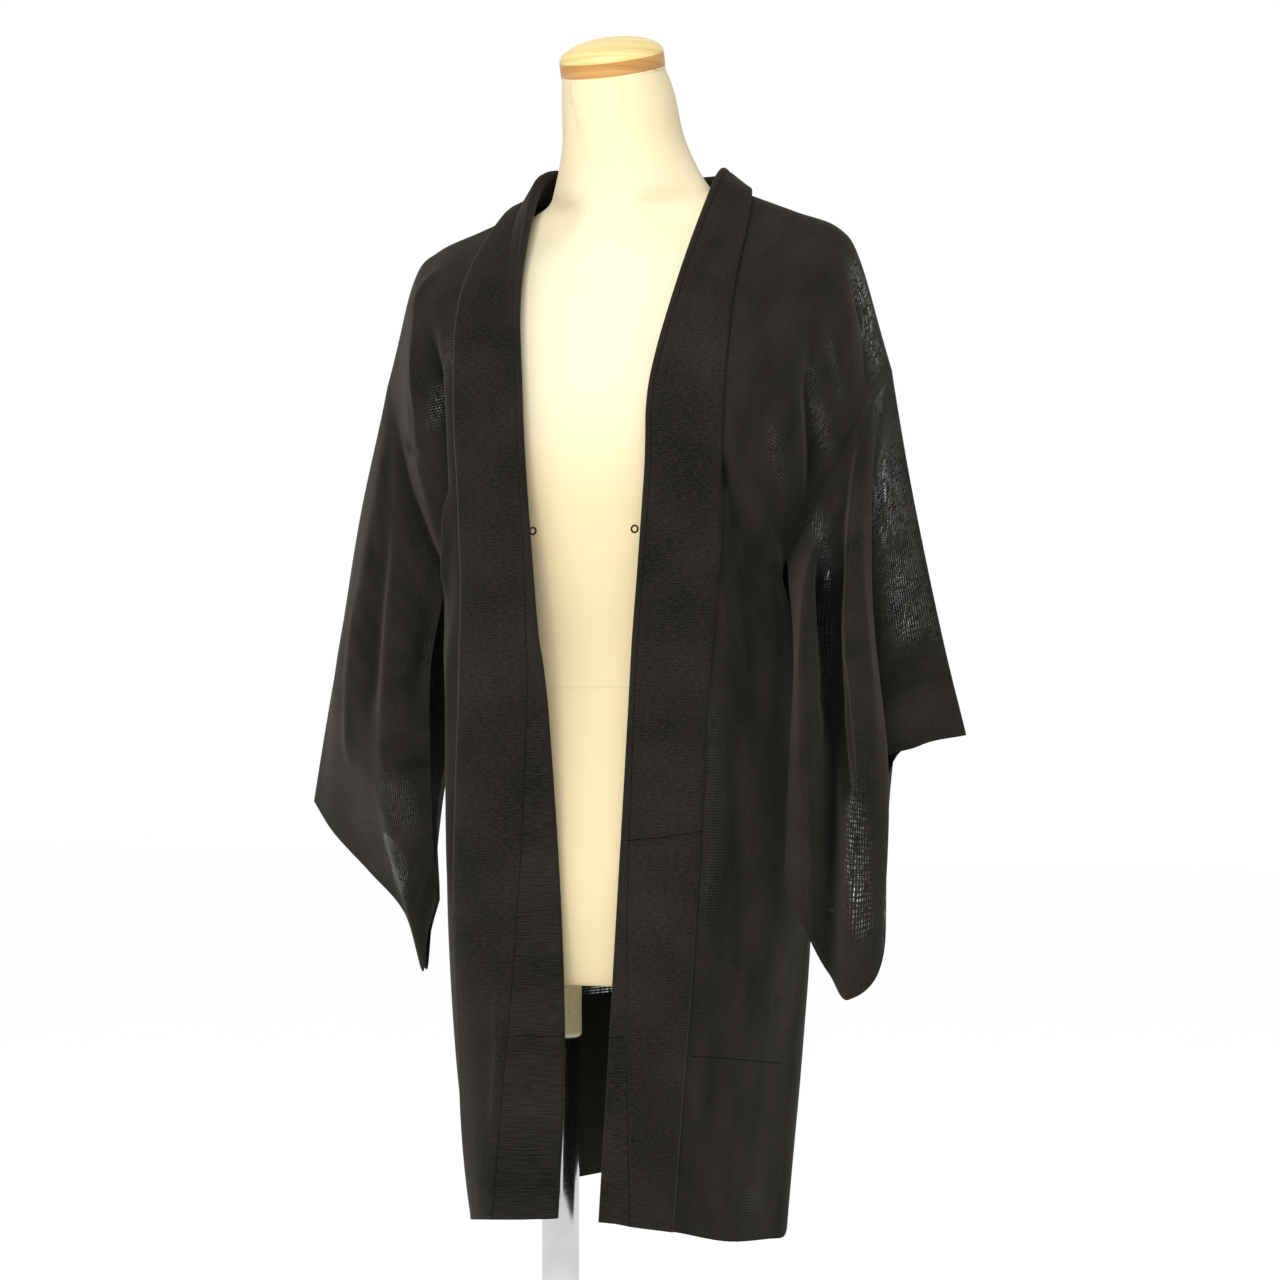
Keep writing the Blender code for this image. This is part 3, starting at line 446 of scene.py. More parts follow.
def walk(line, distance):
    """Point at a distance along a polyline from its first point; it goes on straight past it."""
    if distance < 0:
        return line[0] + (line[0] - line[1]).normalized() * -distance
    for start, end in zip(line, line[1:]):
        length = (end - start).length
        if distance <= length:
            return start.lerp(end, distance / length)
        distance -= length
    return line[-1] + (line[-1] - line[-2]).normalized() * distance


def measured(line):
    """Distance of each point of a polyline from its first."""
    places = [0.0]
    for start, end in zip(line, line[1:]):
        places.append(places[-1] + (end - start).length)
    return places


def normals(grid, outward_from=None):
    """Unit normal at each point of a grid; away from a given point on the axis."""
    result = []
    for j, row in enumerate(grid):
        above, below = grid[min(j + 1, len(grid) - 1)], grid[max(j - 1, 0)]
        line = []
        for i, point in enumerate(row):
            across = row[min(i + 1, len(row) - 1)] - row[max(i - 1, 0)]
            normal = across.cross(above[i] - below[i]).normalized()
            if outward_from is not None and normal.dot(point - outward_from) < 0:
                normal.negate()
            line.append(normal)
        result.append(line)
    return result


def refine(grid, rows, columns=1):
    """The same grid with finer spans both ways, through every one of its points."""
    wide = [[spline(row, c / columns) for c in range((len(row) - 1) * columns + 1)] for row in grid]
    lines = list(zip(*wide))
    fine = [[spline(line, r / rows) for r in range((len(line) - 1) * rows + 1)] for line in lines]
    return [list(row) for row in zip(*fine)]


def row_index(table, name, place_from=0):
    """Index of the grid row on which a named section lies."""
    index = next(k for k in range(place_from, len(table)) if table[k]["name"] == name)
    return sum(row["steps"] for row in table[:index])


def body_rows(front, side):
    """Finely sampled section curves of one body length, front hem to back hem."""
    table = records(SECTION_COLUMNS, front + BACK)
    controls = [[at(row[end], side) for end in SECTION_COLUMNS[2:]] for row in table]
    rows = []
    for place in positions([row["steps"] for row in table[:-1]]):
        stations = [spline(line, place) for line in zip(*controls)]
        stations[0].x = side * max(stations[0].x * side, 0)
        spans = len(stations) - 1
        rows.append([spline(stations, spans * t / SAMPLES) for t in range(SAMPLES + 1)])
    for row in rows[row_index(table, "nape", place_from=len(front)):]:
        for point in row:
            point.x += side * (SEAM / 2 + CENTRE_LEAN)
    return table, rows


def body_grid(rows):
    """Section curves with evenly spaced columns."""
    return [[walk(row, measured(row)[-1] * i / BODY_COLUMNS) for i in range(BODY_COLUMNS)]
            + [row[-1]] for row in rows]


def collar_grid(rows, table, body_table, side):
    """Cross-sections of the collar along one body length, from the hem to the nape."""
    keys = records(COLLAR_COLUMNS, table)
    turns = [at(key["fold"], side) for key in keys]
    places = positions([row["steps"] for row in body_table[:len(keys) - 1]])
    lines, folds, lifts = [], [], []
    for place, row in zip(places, rows):
        edge = spline(turns, place)
        width, sewn_at, lift = [spline([key[name] / MM for key in keys], place)
                                for name in ("width", "sewn_at", "lift")]
        fold = edge + (row[0] - edge).normalized() * (lift + BAND) / 2
        base = (row[0] - fold).length
        stations = [0, sewn_at / 2, sewn_at - SEWN_HALF, sewn_at + SEWN_HALF]
        stations += [sewn_at + (width - sewn_at) * part / COLLAR_SPANS
                     for part in range(1, COLLAR_SPANS + 1)]
        lines.append([fold.lerp(row[0], s / base) if s < base else walk(row, s - base)
                      for s in stations])
        folds.append(fold)
        lifts.append(lift)
    grid = []
    for row, fold, lift, line, facing in zip(rows, folds, lifts, lines, normals(lines, AXIS_POINT)):
        inward = (fold - row[0]).normalized()
        bend = inward.cross((row[0] - row[1]).normalized()).length
        gap = SEAM + bend * BAND / 2
        section = [row[0] + inward * gap, row[0] + inward * (gap + LEAD)]
        section += [section[1].lerp(fold, 0.5)]
        centre = fold + facing[0] * lift / 2
        for k in range(TURN_POINTS):
            angle = math.pi * (k / (TURN_POINTS - 1) - 0.5)
            section.append(centre + inward * math.cos(angle) * lift / 2
                           + facing[0] * math.sin(angle) * lift / 2)
        for k in range(1, len(line)):
            section.append(line[k] + facing[k] * (lift - (SEAM_STEP if k == SEWN_STATION else 0)))
        grid.append(section)
    return grid


def edge_out(row):
    """Outer end of a section and its outward direction there."""
    return row[-1], (row[-1] - row[-2]).normalized()


def gore_grid(front_rows, back_rows):
    """Narrow side gore between the front's side seam and the back's, top to hem."""
    grid = []
    for front, back in zip(front_rows, back_rows):
        start, ahead = edge_out(front)
        end, behind = edge_out(back)
        reach = (end - start).length / 3
        handles = (start + ahead * (SEAM + LEAD), start + ahead * reach, end + behind * reach,
                   end + behind * (SEAM + LEAD))
        middle = [bezier(handles, t / GORE_SPANS) for t in range(GORE_SPANS + 1)]
        grid.append([start + ahead * SEAM] + middle + [end + behind * SEAM])
    return grid


def sleeve_grid(armhole, table, side):
    """Sleeve bag from the armhole's rows out to its cuff and lower edge, as an open wrap."""
    keys = records(SLEEVE_COLUMNS, table)
    starts = [key["start"] for key in keys]
    lines = []
    for c, (point, way) in enumerate(edge_out(row) for row in armhole):
        share = c / (len(armhole) - 1)
        layer = "front" if share <= 0.5 else "back"
        near = min(share, 1 - share)
        k = next(index for index in range(len(starts) - 1) if near <= starts[index + 1] + TINY)
        place = k + (near - starts[k]) / (starts[k + 1] - starts[k])
        line = [point + way * (SEAM + LEAD)]
        line += [spline([at(key[name], side) for key in keys], place)
                 for name in (layer + "_1", layer + "_2", "end")]
        if layer == "back":
            line[-1] += CUFF_LEAN * spline([key["apart"] / MM for key in keys], place)
        spans = len(line) - 1
        lines.append([point + way * SEAM] + [spline(line, spans * r / SLEEVE_ROWS)
                                             for r in range(SLEEVE_ROWS + 1)])
    return [list(row) for row in zip(*lines)]


@functools.cache
def garment(word):
    """Section grids of one side of the jacket: body length, gore, sleeve and half collar."""
    side = 1 if word == "left" else -1
    front, collar, sleeve = ((FRONT_LEFT, COLLAR_LEFT, SLEEVE_LEFT) if side > 0 else
                             (FRONT_RIGHT, COLLAR_RIGHT, SLEEVE_RIGHT))
    table, rows = body_rows(front, side)
    body = body_grid(rows)
    gore_top = row_index(table, "gore top")
    back_top, nape, last = [row_index(table, name, place_from=len(front))
                            for name in ("gore top", "nape", "blade")]
    armhole = range(row_index(table, "armpit") * ROWS_PER_STEP, last * ROWS_PER_STEP + 1)

    def body_hold(j, i):
        """Folds die away at the body's sewn edges but pass over the armhole seam."""
        outer = SEAM_COLUMNS if j in armhole else BODY_COLUMNS - i
        return min(i, outer, SEAM_COLUMNS) / SEAM_COLUMNS

    def sleeve_hold(j, i):
        """A sleeve takes up its own folds as those of the armhole seam run out."""
        return min(1.0, SLEEVE_TAKE_UP * j / SLEEVE_ROWS)

    band = collar_grid(rows, collar, table, side)
    neck_seam = [[walk(row, TURNING), walk(row, TURNING / 2), row[0], section[0], section[1]]
                 for row, section in zip(body, band)]
    creased = crease(refine(body, ROWS_PER_STEP), word, body_hold)
    hanging = sleeve_grid(creased[armhole[0]:armhole[-1] + 1], sleeve, side)
    return {"body": creased,
            "neck_seam": refine(neck_seam, ROWS_PER_STEP),
            "gore": refine(gore_grid(body[gore_top::-1], body[back_top:]), ROWS_PER_STEP),
            "sleeve": crease(hanging, word, sleeve_hold),
            "collar": band,
            "gore_top": gore_top * ROWS_PER_STEP, "back_top": back_top * ROWS_PER_STEP,
            "nape": nape * ROWS_PER_STEP}


# ---------------------------------------------------------------- helpers for the cloth
def lengths(grid):
    """Distance across and along the cloth of each grid point, by its middle lines."""
    return measured(grid[len(grid) // 2]), measured([row[len(row) // 2] for row in grid])


def outward(grid):
    """Unit normals of a grid that face away from its middle."""
    facing = normals(grid)
    middle = sum((point for row in grid for point in row), Vector()) / (len(grid) * len(grid[0]))
    lean = sum(facing[j][i].dot(grid[j][i] - middle) for j in range(0, len(grid), LOOK_STEP)
               for i in range(0, len(grid[0]), LOOK_STEP))
    return facing if lean > 0 else [[-normal for normal in line] for line in facing]


class Trace:
    """A polyline laid over the cloth through listed places, with how far it reaches to each side.
    """

    def __init__(self, reach, places):
        points = [at(place) for place in places]
        last = len(points) - 1
        self.points = [spline(points, k / SUBDIVIDE) for k in range(last * SUBDIVIDE + 1)]
        self.reach = reach / MM
        self.low = [min(p[k] for p in self.points) - 2 * self.reach for k in range(3)]
        self.high = [max(p[k] for p in self.points) + 2 * self.reach for k in range(3)]

    def nearest(self, place):
        """Offset from the nearest place on the line, its way there and the share passed."""
        best = None
        for k, (start, end) in enumerate(zip(self.points, self.points[1:])):
            step = end - start
            share = max(0.0, min(1.0, (place - start).dot(step) / step.length_squared))
            offset = place - start - step * share
            if best is None or offset.length < best[0].length:
                best = offset, step.normalized(), (k + share) / (len(self.points) - 1)
        return best

    def strength(self, place, normal=None):
        """1 on the line, falling softly to its sides and ends; with a normal, as a step."""
        if not all(self.low[k] < place[k] < self.high[k] for k in range(3)):
            return 0.0
        offset, way, share = self.nearest(place)
        taper = min(1.0, END_RISE * share + END_LEVEL, END_RISE * (1 - share) + END_LEVEL)
        strength = taper * math.exp(-SOFTNESS * (offset.length / self.reach) ** 2)
        if normal is None:
            return strength
        return strength * offset.dot(normal.cross(way)) / self.reach / STEP_PEAK


def crease(grid, side, hold, ripple=RIPPLE):
    """Lays the folds of one side and a slight unevenness into a grid, as far as hold lets them."""
    facing = outward(grid)
    across, along = lengths(grid)
    laid = [(Trace(width, places), kind, depth / MM) for kind, width, depth, places in FOLDS[side]]
    result = []
    for j, row in enumerate(grid):
        line = []
        for i, point in enumerate(row):
            normal = facing[j][i]
            wave = sum(math.sin(TWO_PI * (across[i] * a + along[j] * b) + phase)
                       for a, b, phase in RIPPLES) / len(RIPPLES)
            shift = ripple * wave
            for trace, kind, depth in laid:
                shift += depth * trace.strength(point, normal if kind == "step" else None)
            line.append(point + normal * shift * hold(j, i))
        result.append(line)
    return result


def openness(grid, piece):
    """How open the weave lies at each point of a grid, which also sets where the glint is painted.
    """
    laid = [(Trace(reach, places), amount) for reach, amount, places in OPEN.get(piece, ())]
    return [min(WIDEST, CLOSED + sum(trace.strength(point) * amount for trace, amount in laid))
            for row in grid for point in row]


def hollows(grid):
    """How deep each point of a grid lies between the cloth to its sides, from 0 to 1, for the
    painted shade in its hollows.
    """
    facing = outward(grid)
    result = []
    for j, row in enumerate(grid):
        m = min(HOLLOW_ROWS, j, len(grid) - 1 - j)
        for i, point in enumerate(row):
            n = min(HOLLOW_COLUMNS, i, len(row) - 1 - i)
            rise = max((row[i - n] + row[i + n] - point * 2).dot(facing[j][i]),
                       (grid[j - m][i] + grid[j + m][i] - point * 2).dot(facing[j][i])) / 2
            result.append(max(0.0, min(1.0, rise / HOLLOW_DEPTH)))
    return result


def quads(rows, columns, wrap=False, ring=False):
    """Faces of a grid of points; wrap joins its last column to the first, ring its last row."""
    return [(j * columns + i, j * columns + (i + 1) % columns,
             (j + 1) % rows * columns + (i + 1) % columns, (j + 1) % rows * columns + i)
            for j in range(rows if ring else rows - 1)
            for i in range(columns if wrap else columns - 1)]


def lids(rows, columns):
    """The two end faces of a closed wrap."""
    return [tuple(range(columns))[::-1], tuple((rows - 1) * columns + i for i in range(columns))]


def shaped(name, points, faces, finish, sharp=False):
    """A smooth mesh in one finish; its hard edges are kept where it is sharp."""
    mesh = bpy.data.meshes.new(name)
    mesh.from_pydata([tuple(point) for point in points], [], faces)
    mesh.shade_smooth()
    if sharp:
        mesh.set_sharp_from_angle(angle=SHARP_ANGLE)
    mesh.materials.append(finish)
    return mesh


def placed(name, mesh):
    """A piece of the object, at rest on its body."""
    piece = bpy.data.objects.new(name, mesh)
    bpy.context.scene.collection.objects.link(piece)
    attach(piece, "root")
    return piece


def cloth(name, grid, finish, along_rows=True, wall=0.0):
    """A cloth piece through the points of a grid, with its weave's places in metres."""
    width = len(grid[0])
    across, along = lengths(grid)
    mesh = shaped(name, [point for row in grid for point in row], quads(len(grid), width), finish)
    weave = mesh.uv_layers.new(name="weave")
    for loop in mesh.loops:
        j, i = divmod(loop.vertex_index, width)
        weave.data[loop.index].uv = (across[i], along[j]) if along_rows else (along[j], across[i])
    # how open the weave lies, and how deep each point lies for the painted shade in the hollows
    for attribute, amounts in (("sheer", openness(grid, name)), ("painted_hollow_shade", hollows(grid))):
        mesh.attributes.new(attribute, "FLOAT", "POINT").data.foreach_set("value", amounts)
    piece = placed(name, mesh)
    if wall:
        shell = piece.modifiers.new("wall", "SOLIDIFY")
        shell.thickness = wall
        shell.offset = 0.0
    return piece


def inside(grid, gap):
    """The grid moved inwards, for cloth that lies inside the piece."""
    return [[point - normal * gap for point, normal in zip(row, line)]
            for row, line in zip(grid, outward(grid))]


def lengthwise(grid, low, high):
    """Rows of a grid between two distances along it, in metres."""
    return [row for row, place in zip(grid, lengths(grid)[1]) if low <= place <= high]


def turning(grid):
    """Cloth turned in along the first column of a grid, reaching under the neighbour."""
    stations = [-OVERLAP + (TURNING + OVERLAP) * k / TURNING_SPANS
                for k in range(TURNING_SPANS + 1)]
    return [[walk(row, station) for station in stations] for row in inside(grid, FACING_INSET / 2)]


def tube(name, points, cord, sides, finish, closed=False, twists=0):
    """A round cord through points; twists turn its slightly flat section along the way."""
    count = len(points)
    vertices = []
    for k, point in enumerate(points):
        ahead = points[(k + 1) % count] if closed else points[min(k + 1, count - 1)]
        behind = points[k - 1] if closed or k else points[0]
        way = (ahead - behind).normalized()
        across = way.cross(CORD_SIDE).normalized()
        up = across.cross(way)
        for m in range(sides):
            angle = TWO_PI * m / sides
            turn = math.cos(2 * angle + twists * TWO_PI * k / count)
            thick = cord * (1 - FLATNESS + FLATNESS * turn)
            vertices.append(point + across * thick * math.cos(angle) + up * thick * math.sin(angle))
    faces = quads(count, sides, wrap=True, ring=closed) + ([] if closed else lids(count, sides))
    mesh = shaped(name, vertices, faces, finish)
    mesh.uv_layers.new(name="weave")
    return mesh


def circle(centre, radius, across, up):
    """Points round a circle through two unit directions."""
    turns = [TWO_PI * k / RING_STEPS for k in range(RING_STEPS)]
    return [centre + (across * math.cos(turn) + up * math.sin(turn)) * radius for turn in turns]


def sewn_line(name, piece, width, places):
    """A line of dark thread that lies on a piece of cloth, as stitches and, along the cross crease,
    as painted shade.
    """
    skin = BVHTree.FromObject(bpy.data.objects[piece], bpy.context.evaluated_depsgraph_get())
    points = [at(place) for place in places]
    spans = (len(points) - 1) * STITCHES_PER_SPAN
    laid = [skin.find_nearest(spline(points, k / STITCHES_PER_SPAN))[0] for k in range(spans + 1)]
    return placed(name, tube(name, laid, width / MM / 2, STITCH_SIDES, sewing()))


def turned(name, profile, finish):
    """A turned piece: (radius, height) pairs, top to bottom, round Z, closed on the axis."""
    vertices, rings = [], []
    for radius, height in profile:
        turns = [TWO_PI * k / TURNED_SIDES for k in range(TURNED_SIDES if radius else 1)]
        rings.append([len(vertices) + k for k in range(len(turns))])
        vertices += [(radius * math.cos(turn), radius * math.sin(turn), height) for turn in turns]
    faces = []
    for high, low in zip(rings, rings[1:]):
        for k in range(TURNED_SIDES):
            n = (k + 1) % TURNED_SIDES
            corners = (high[k % len(high)], low[k % len(low)],
                       low[n % len(low)], high[n % len(high)])
            faces.append(tuple(dict.fromkeys(corners)))
    return placed(name, shaped(name, vertices, faces, finish, sharp=True))


# ---------------------------------------------------------------- shader maths
class Value:
    """A number socket that takes part in sums."""

    def __init__(self, tree, socket):
        self.tree, self.socket = tree, socket

    def _math(self, operation, *others, clamp=False):
        node = self.tree.nodes.new("ShaderNodeMath")
        node.operation = operation
        node.use_clamp = clamp
        for entry, item in zip(node.inputs, others):
            if isinstance(item, Value):
                self.tree.links.new(item.socket, entry)
            else:
                entry.default_value = item
        return Value(self.tree, node.outputs[0])

    def __add__(self, other):
        return self._math("ADD", self, other)

    __radd__ = __add__

    def __mul__(self, other):
        return self._math("MULTIPLY", self, other)

    __rmul__ = __mul__

    def __sub__(self, other):
        return self._math("SUBTRACT", self, other)

    def __rsub__(self, other):
        return self._math("SUBTRACT", other, self)

    def sine(self):
        return self._math("SINE", self)

    def between(self, low, high):
        """0 below low, 1 above high and a straight rise between them."""
        return self._math("MULTIPLY", self - low, 1 / (high - low), clamp=True)


class Nodes:
    """Adds nodes to one tree, all through the same method."""

    def __init__(self, tree):
        self.tree = tree

    def node(self, kind, settings=None, output=0, **sockets):
        """Any other node: its type, its settings, then its sockets by name or as n and a number."""
        added = self.tree.nodes.new(kind)
        for key, value in (settings or {}).items():
            setattr(added, key, value)
        for key, value in sockets.items():
            place = int(key[1:]) if key[1:].isdigit() else key.replace("_", " ").title()
            entry = added.inputs[place]
            if isinstance(value, Value):
                self.tree.links.new(value.socket, entry)
            else:
                entry.default_value = value
        return Value(self.tree, added.outputs[output] if added.outputs else None)


class Finish(Nodes):
    """Builds one material's nodes round its Principled shader."""

    def __init__(self, name, **fixed):
        self.material = bpy.data.materials.new(name)
        self.material.use_nodes = True
        super().__init__(self.material.node_tree)
        self.shader = self.tree.nodes["Principled BSDF"]
        for key, value in fixed.items():
            socket = key.replace("_", " ").title().replace("Ior", "IOR")
            self.shader.inputs[socket].default_value = value

    def axis(self, places, name):
        return self.node("ShaderNodeSeparateXYZ", output=name, n0=places)

    def object_places(self):
        return self.node("ShaderNodeTexCoord", output="Object")

    def painted(self, attribute):
        """A number that is stored at each point of the cloth."""
        return self.node("ShaderNodeAttribute", {"attribute_name": attribute}, output="Fac")

    def noise(self, places, scale, detail=2.0, roughness=0.5):
        return self.node("ShaderNodeTexNoise", vector=places, scale=scale, detail=detail,
                         roughness=roughness)

    def drawn_out(self, places, scales, detail=2.0, roughness=0.5):
        """Noise with its own scale along each axis."""
        long = self.node("ShaderNodeVectorMath", {"operation": "MULTIPLY"}, n0=places, n1=scales)
        return self.noise(long, 1.0, detail, roughness)

    def colours(self, mask, low, high):
        """A mix of two colours by a mask; each is a value or three numbers."""
        low, high = [item if isinstance(item, Value) else (*item, 1) for item in (low, high)]
        return self.node("ShaderNodeMix", {"data_type": "RGBA"}, output=2, n0=mask, n6=low, n7=high)

    def join(self, socket, value):
        self.tree.links.new(value.socket, self.shader.inputs[socket])

    def bump(self, height, strength, distance):
        self.join("Normal", self.node("ShaderNodeBump", height=height, strength=strength,
                                      distance=distance))


# ---------------------------------------------------------------- finishes
def gauze(name, sheer):
    """Leo gauze: open rows across the warp let light through where one cloth lies stretched, and
    are painted lighter there as a painted glint.
    """
    look = bpy.context.scene.haori_look
    dark = tuple(look.cloth_dark)
    finish = Finish(name, roughness=0.86, sheen_weight=look.sheen, sheen_roughness=0.45,
                    specular_ior_level=0.05, sheen_tint=(0.70, 0.64, 0.56, 1))
    places = finish.node("ShaderNodeUVMap", {"uv_map": "weave"})
    rows = (finish.axis(places, "Y") * (TWO_PI / look.row_pitch)).sine()
    threads = (finish.axis(places, "X") * (TWO_PI / look.thread_pitch)).sine()
    mottle = finish.noise(places, 700.0, 3.0, 0.7)
    cloudy = finish.drawn_out(places, (30.0, 12.0, 1.0), 3.0)
    tone = mottle * 0.8 + cloudy * 0.5 + rows * 0.03
    shade = finish.colours(tone.between(0.42, 0.88), dark, tuple(look.cloth_light))
    finish.join("Roughness", 0.78 + mottle * 0.16)
    finish.bump(rows * 0.35 + threads * 0.2 + mottle, 0.4, 0.0004)
    if sheer:
        slubs = finish.drawn_out(places, (430.0, 120.0, 1.0))
        uneven = finish.drawn_out(places, (45.0, 25.0, 1.0), 3.0)
        gaps = rows.between(0.0, 0.5) * threads.between(-0.9, -0.1)
        amount = finish.painted("sheer") * uneven.between(0.2, 0.55) * look.sheerness
        light = (gaps * slubs.between(0.38, 0.56) * amount).between(0, 1)
        finish.join("Alpha", 1 - light * 0.85)
        # painted glint: the open rows lightened in the base colour
        shade = finish.colours(light, shade, tuple(look.cloth_painted_glint))
    # painted shade: the cloth's colour darkened in its hollows, by how deep they lie
    painted_hollow_shade = finish.painted("painted_hollow_shade") * look.hollow_shade
    finish.join("Base Color", finish.colours(painted_hollow_shade, shade, dark))
    return finish.material


def jersey(name):
    """Cream knit stretched smooth over the form, with painted light making it paler from the bust
    up, less so at the neck.
    """
    look = bpy.context.scene.haori_look
    finish = Finish(name, roughness=0.82, sheen_weight=0.1, specular_ior_level=0.2)
    places = finish.object_places()
    z = finish.axis(places, "Z")
    rib = (z * (TWO_PI / 0.0011)).sine() + (finish.axis(places, "X") * (TWO_PI / 0.0014)).sine()
    body = tuple(look.jersey)
    low = finish.colours(finish.noise(places, 9.0, 3.0).between(0.35, 0.65), body,
                         tuple(c * 1.03 for c in body))
    waist = z.between(*WAIST_LINE[:2]) * (1 - z.between(*WAIST_LINE[2:])) * 0.4
    # painted light: paler from the bust up, fading again towards the neck
    painted_light = z.between(1.02, 1.12) * (1 - z.between(1.22, 1.34) * 0.7)
    cover = finish.colours(painted_light, low, tuple(look.jersey_painted_light))
    finish.join("Base Color", finish.colours(waist, cover, tuple(c * 0.8 for c in body)))
    finish.bump(rib * 0.2 + finish.noise(places, 1400.0) * 0.5, 0.12, 0.0003)
    return finish.material


def wood(name, dark, light):
    """Hardwood with its grain running level."""
    finish = Finish(name, roughness=0.45, coat_weight=0.12, coat_roughness=0.35)
    places = finish.object_places()
    grain = finish.drawn_out(places, (14.0, 14.0, 620.0), 4.0, 0.62)
    figure = finish.drawn_out(places, (5.0, 9.0, 160.0), 3.0)
    finish.join("Base Color", finish.colours((grain * 0.6 + figure * 0.6).between(0.42, 0.74),
                                             tuple(dark), tuple(light)))
    finish.join("Roughness", 0.38 + grain * 0.16)
    finish.bump(grain, 0.10, 0.0004)
    return finish.material


def moulded(name):
    """Beige plastic with a painted highlight along the rim at its lower end."""
    beige = tuple(bpy.context.scene.haori_look.socket)
    finish = Finish(name, roughness=0.5, specular_ior_level=0.4)
    places = finish.object_places()
    speck = finish.noise(places, 260.0, 3.0)
    body = finish.colours(speck.between(0.35, 0.65), beige, tuple(c * 1.12 for c in beige))
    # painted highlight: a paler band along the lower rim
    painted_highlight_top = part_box("form_socket")[0][2] + SOCKET_PAINTED_HIGHLIGHT
    finish.join("Base Color", finish.colours(finish.axis(places, "Z").between(painted_highlight_top - 0.0006, painted_highlight_top),
                                             tuple(min(1.0, c * 1.4) for c in beige), body))
    finish.bump(speck, 0.08, 0.0004)
    return finish.material


def plated(name, shades, grain):
    """Plated steel with a faint polish line and small wear."""
    finish = Finish(name, metallic=1.0, roughness=0.12)
    places = finish.object_places()
    lines = finish.drawn_out(places, grain, 3.0)
    wear = finish.noise(places, 22.0, 3.0)
    low, high = [(shade, shade, shade * 1.01) for shade in shades]
    finish.join("Base Color", finish.colours(wear.between(0.4, 0.7), low, high))
    finish.join("Roughness", 0.07 + lines * 0.1 + wear * 0.05)
    finish.bump(lines, 0.03, 0.0002)
    return finish.material


def thread(name):
    """Sewing thread sunk in the cloth, darker than the cloth: partly the thread's own colour,
    partly painted shade of the groove that it lies in.
    """
    finish = Finish(name, roughness=0.95, specular_ior_level=0.05)
    twist = finish.noise(finish.object_places(), 1200.0)
    dark = tuple(bpy.context.scene.haori_look.cloth_dark)
    finish.join("Base Color", finish.colours(twist, tuple(c * 0.6 for c in dark), dark))
    return finish.material


def paper(name):
    """Matt white paper that shines a little, for a floor without a horizon."""
    finish = Finish(name, roughness=0.9, emission_color=(1, 1, 1, 1), emission_strength=0.68)
    mottle = finish.noise(finish.object_places(), 6.0, 3.0)
    finish.join("Base Color", finish.colours(mottle.between(0.3, 0.7), (0.94, 0.94, 0.935),
                                             (0.96, 0.96, 0.955)))
    return finish.material


def made(name, maker, *details):
    """A finish by name, made the first time that it is asked for."""
    return bpy.data.materials.get(name) or maker(name, *details)


def sheer_cloth():
    return made("gauze", gauze, True)


def doubled_cloth():
    return made("gauze_doubled", gauze, False)


def sewing():
    return made("sewing_thread", thread)


# ---------------------------------------------------------------- settings
def colour(name, description, value):
    return bpy.props.FloatVectorProperty(name=name, description=description, default=value, size=3,
                                         subtype="COLOR", min=0, max=1)


def distance(name, description, value, low, high):
    return bpy.props.FloatProperty(name=name, description=description, default=value, min=low,
                                   max=high, subtype="DISTANCE", unit="LENGTH")


def share(name, description, value):
    return bpy.props.FloatProperty(name=name, description=description, default=value, min=0, max=1,
                                   subtype="FACTOR")


class HaoriLook(bpy.types.PropertyGroup):
    """Sizes and colours that a user would change."""

    cloth_dark: colour("Cloth, dark thread", "Colour in the hollows of the weave",
                       (0.0030, 0.0028, 0.0025))
    cloth_light: colour("Cloth, light thread", "Colour on the raised threads",
                        (0.033, 0.0292, 0.0235))
    # painted glint: lightens the cloth's colour where the weave stands open
    cloth_painted_glint: colour("Cloth, open weave", "Colour of threads that catch light in open weave",
                        (0.20, 0.195, 0.185))
    hollow_shade: share("Hollow shade", "How much darker the cloth lies in its hollows", 0.85)
    row_pitch: distance("Open row pitch", "Distance between the open rows", 0.0024, 0.001, 0.01)
    thread_pitch: distance("Thread pitch", "Distance between paired threads", 0.0019, 0.0004, 0.01)
    sheerness: share("Sheerness", "Share of light that a fully open row lets through", 1.0)
    sheen: share("Sheen", "Soft brightness where the cloth turns away", 0.11)
    jersey: colour("Jersey", "Colour of the form's cover", (0.87, 0.72, 0.43))
    # painted light: the cover's colour from the bust up, where the light falls strongest
    jersey_painted_light: colour("Jersey, shoulders", "Colour where the cover is stretched",
                        (0.92, 0.82, 0.58))
    dome_dark: colour("Cap dome, dark grain", "Darker grain of the dome", (0.70, 0.52, 0.17))
    dome_light: colour("Cap dome, light grain", "Lighter grain of the dome", (0.98, 0.80, 0.36))
    rim_dark: colour("Cap rim, dark grain", "Darker grain of the rim", (0.46, 0.20, 0.04))
    rim_light: colour("Cap rim, light grain", "Lighter grain of the rim", (0.68, 0.37, 0.11))
    socket: colour("Socket", "Colour of the moulded pole socket", (0.85, 0.76, 0.50))
    room: bpy.props.FloatProperty(name="Room light", description="Even light from all round",
                                  default=0.26, min=0, max=4)
    key: bpy.props.FloatProperty(name="Soft box", description="Power of the large soft box",
                                 default=50.0, subtype="POWER", unit="POWER", min=0, max=500)


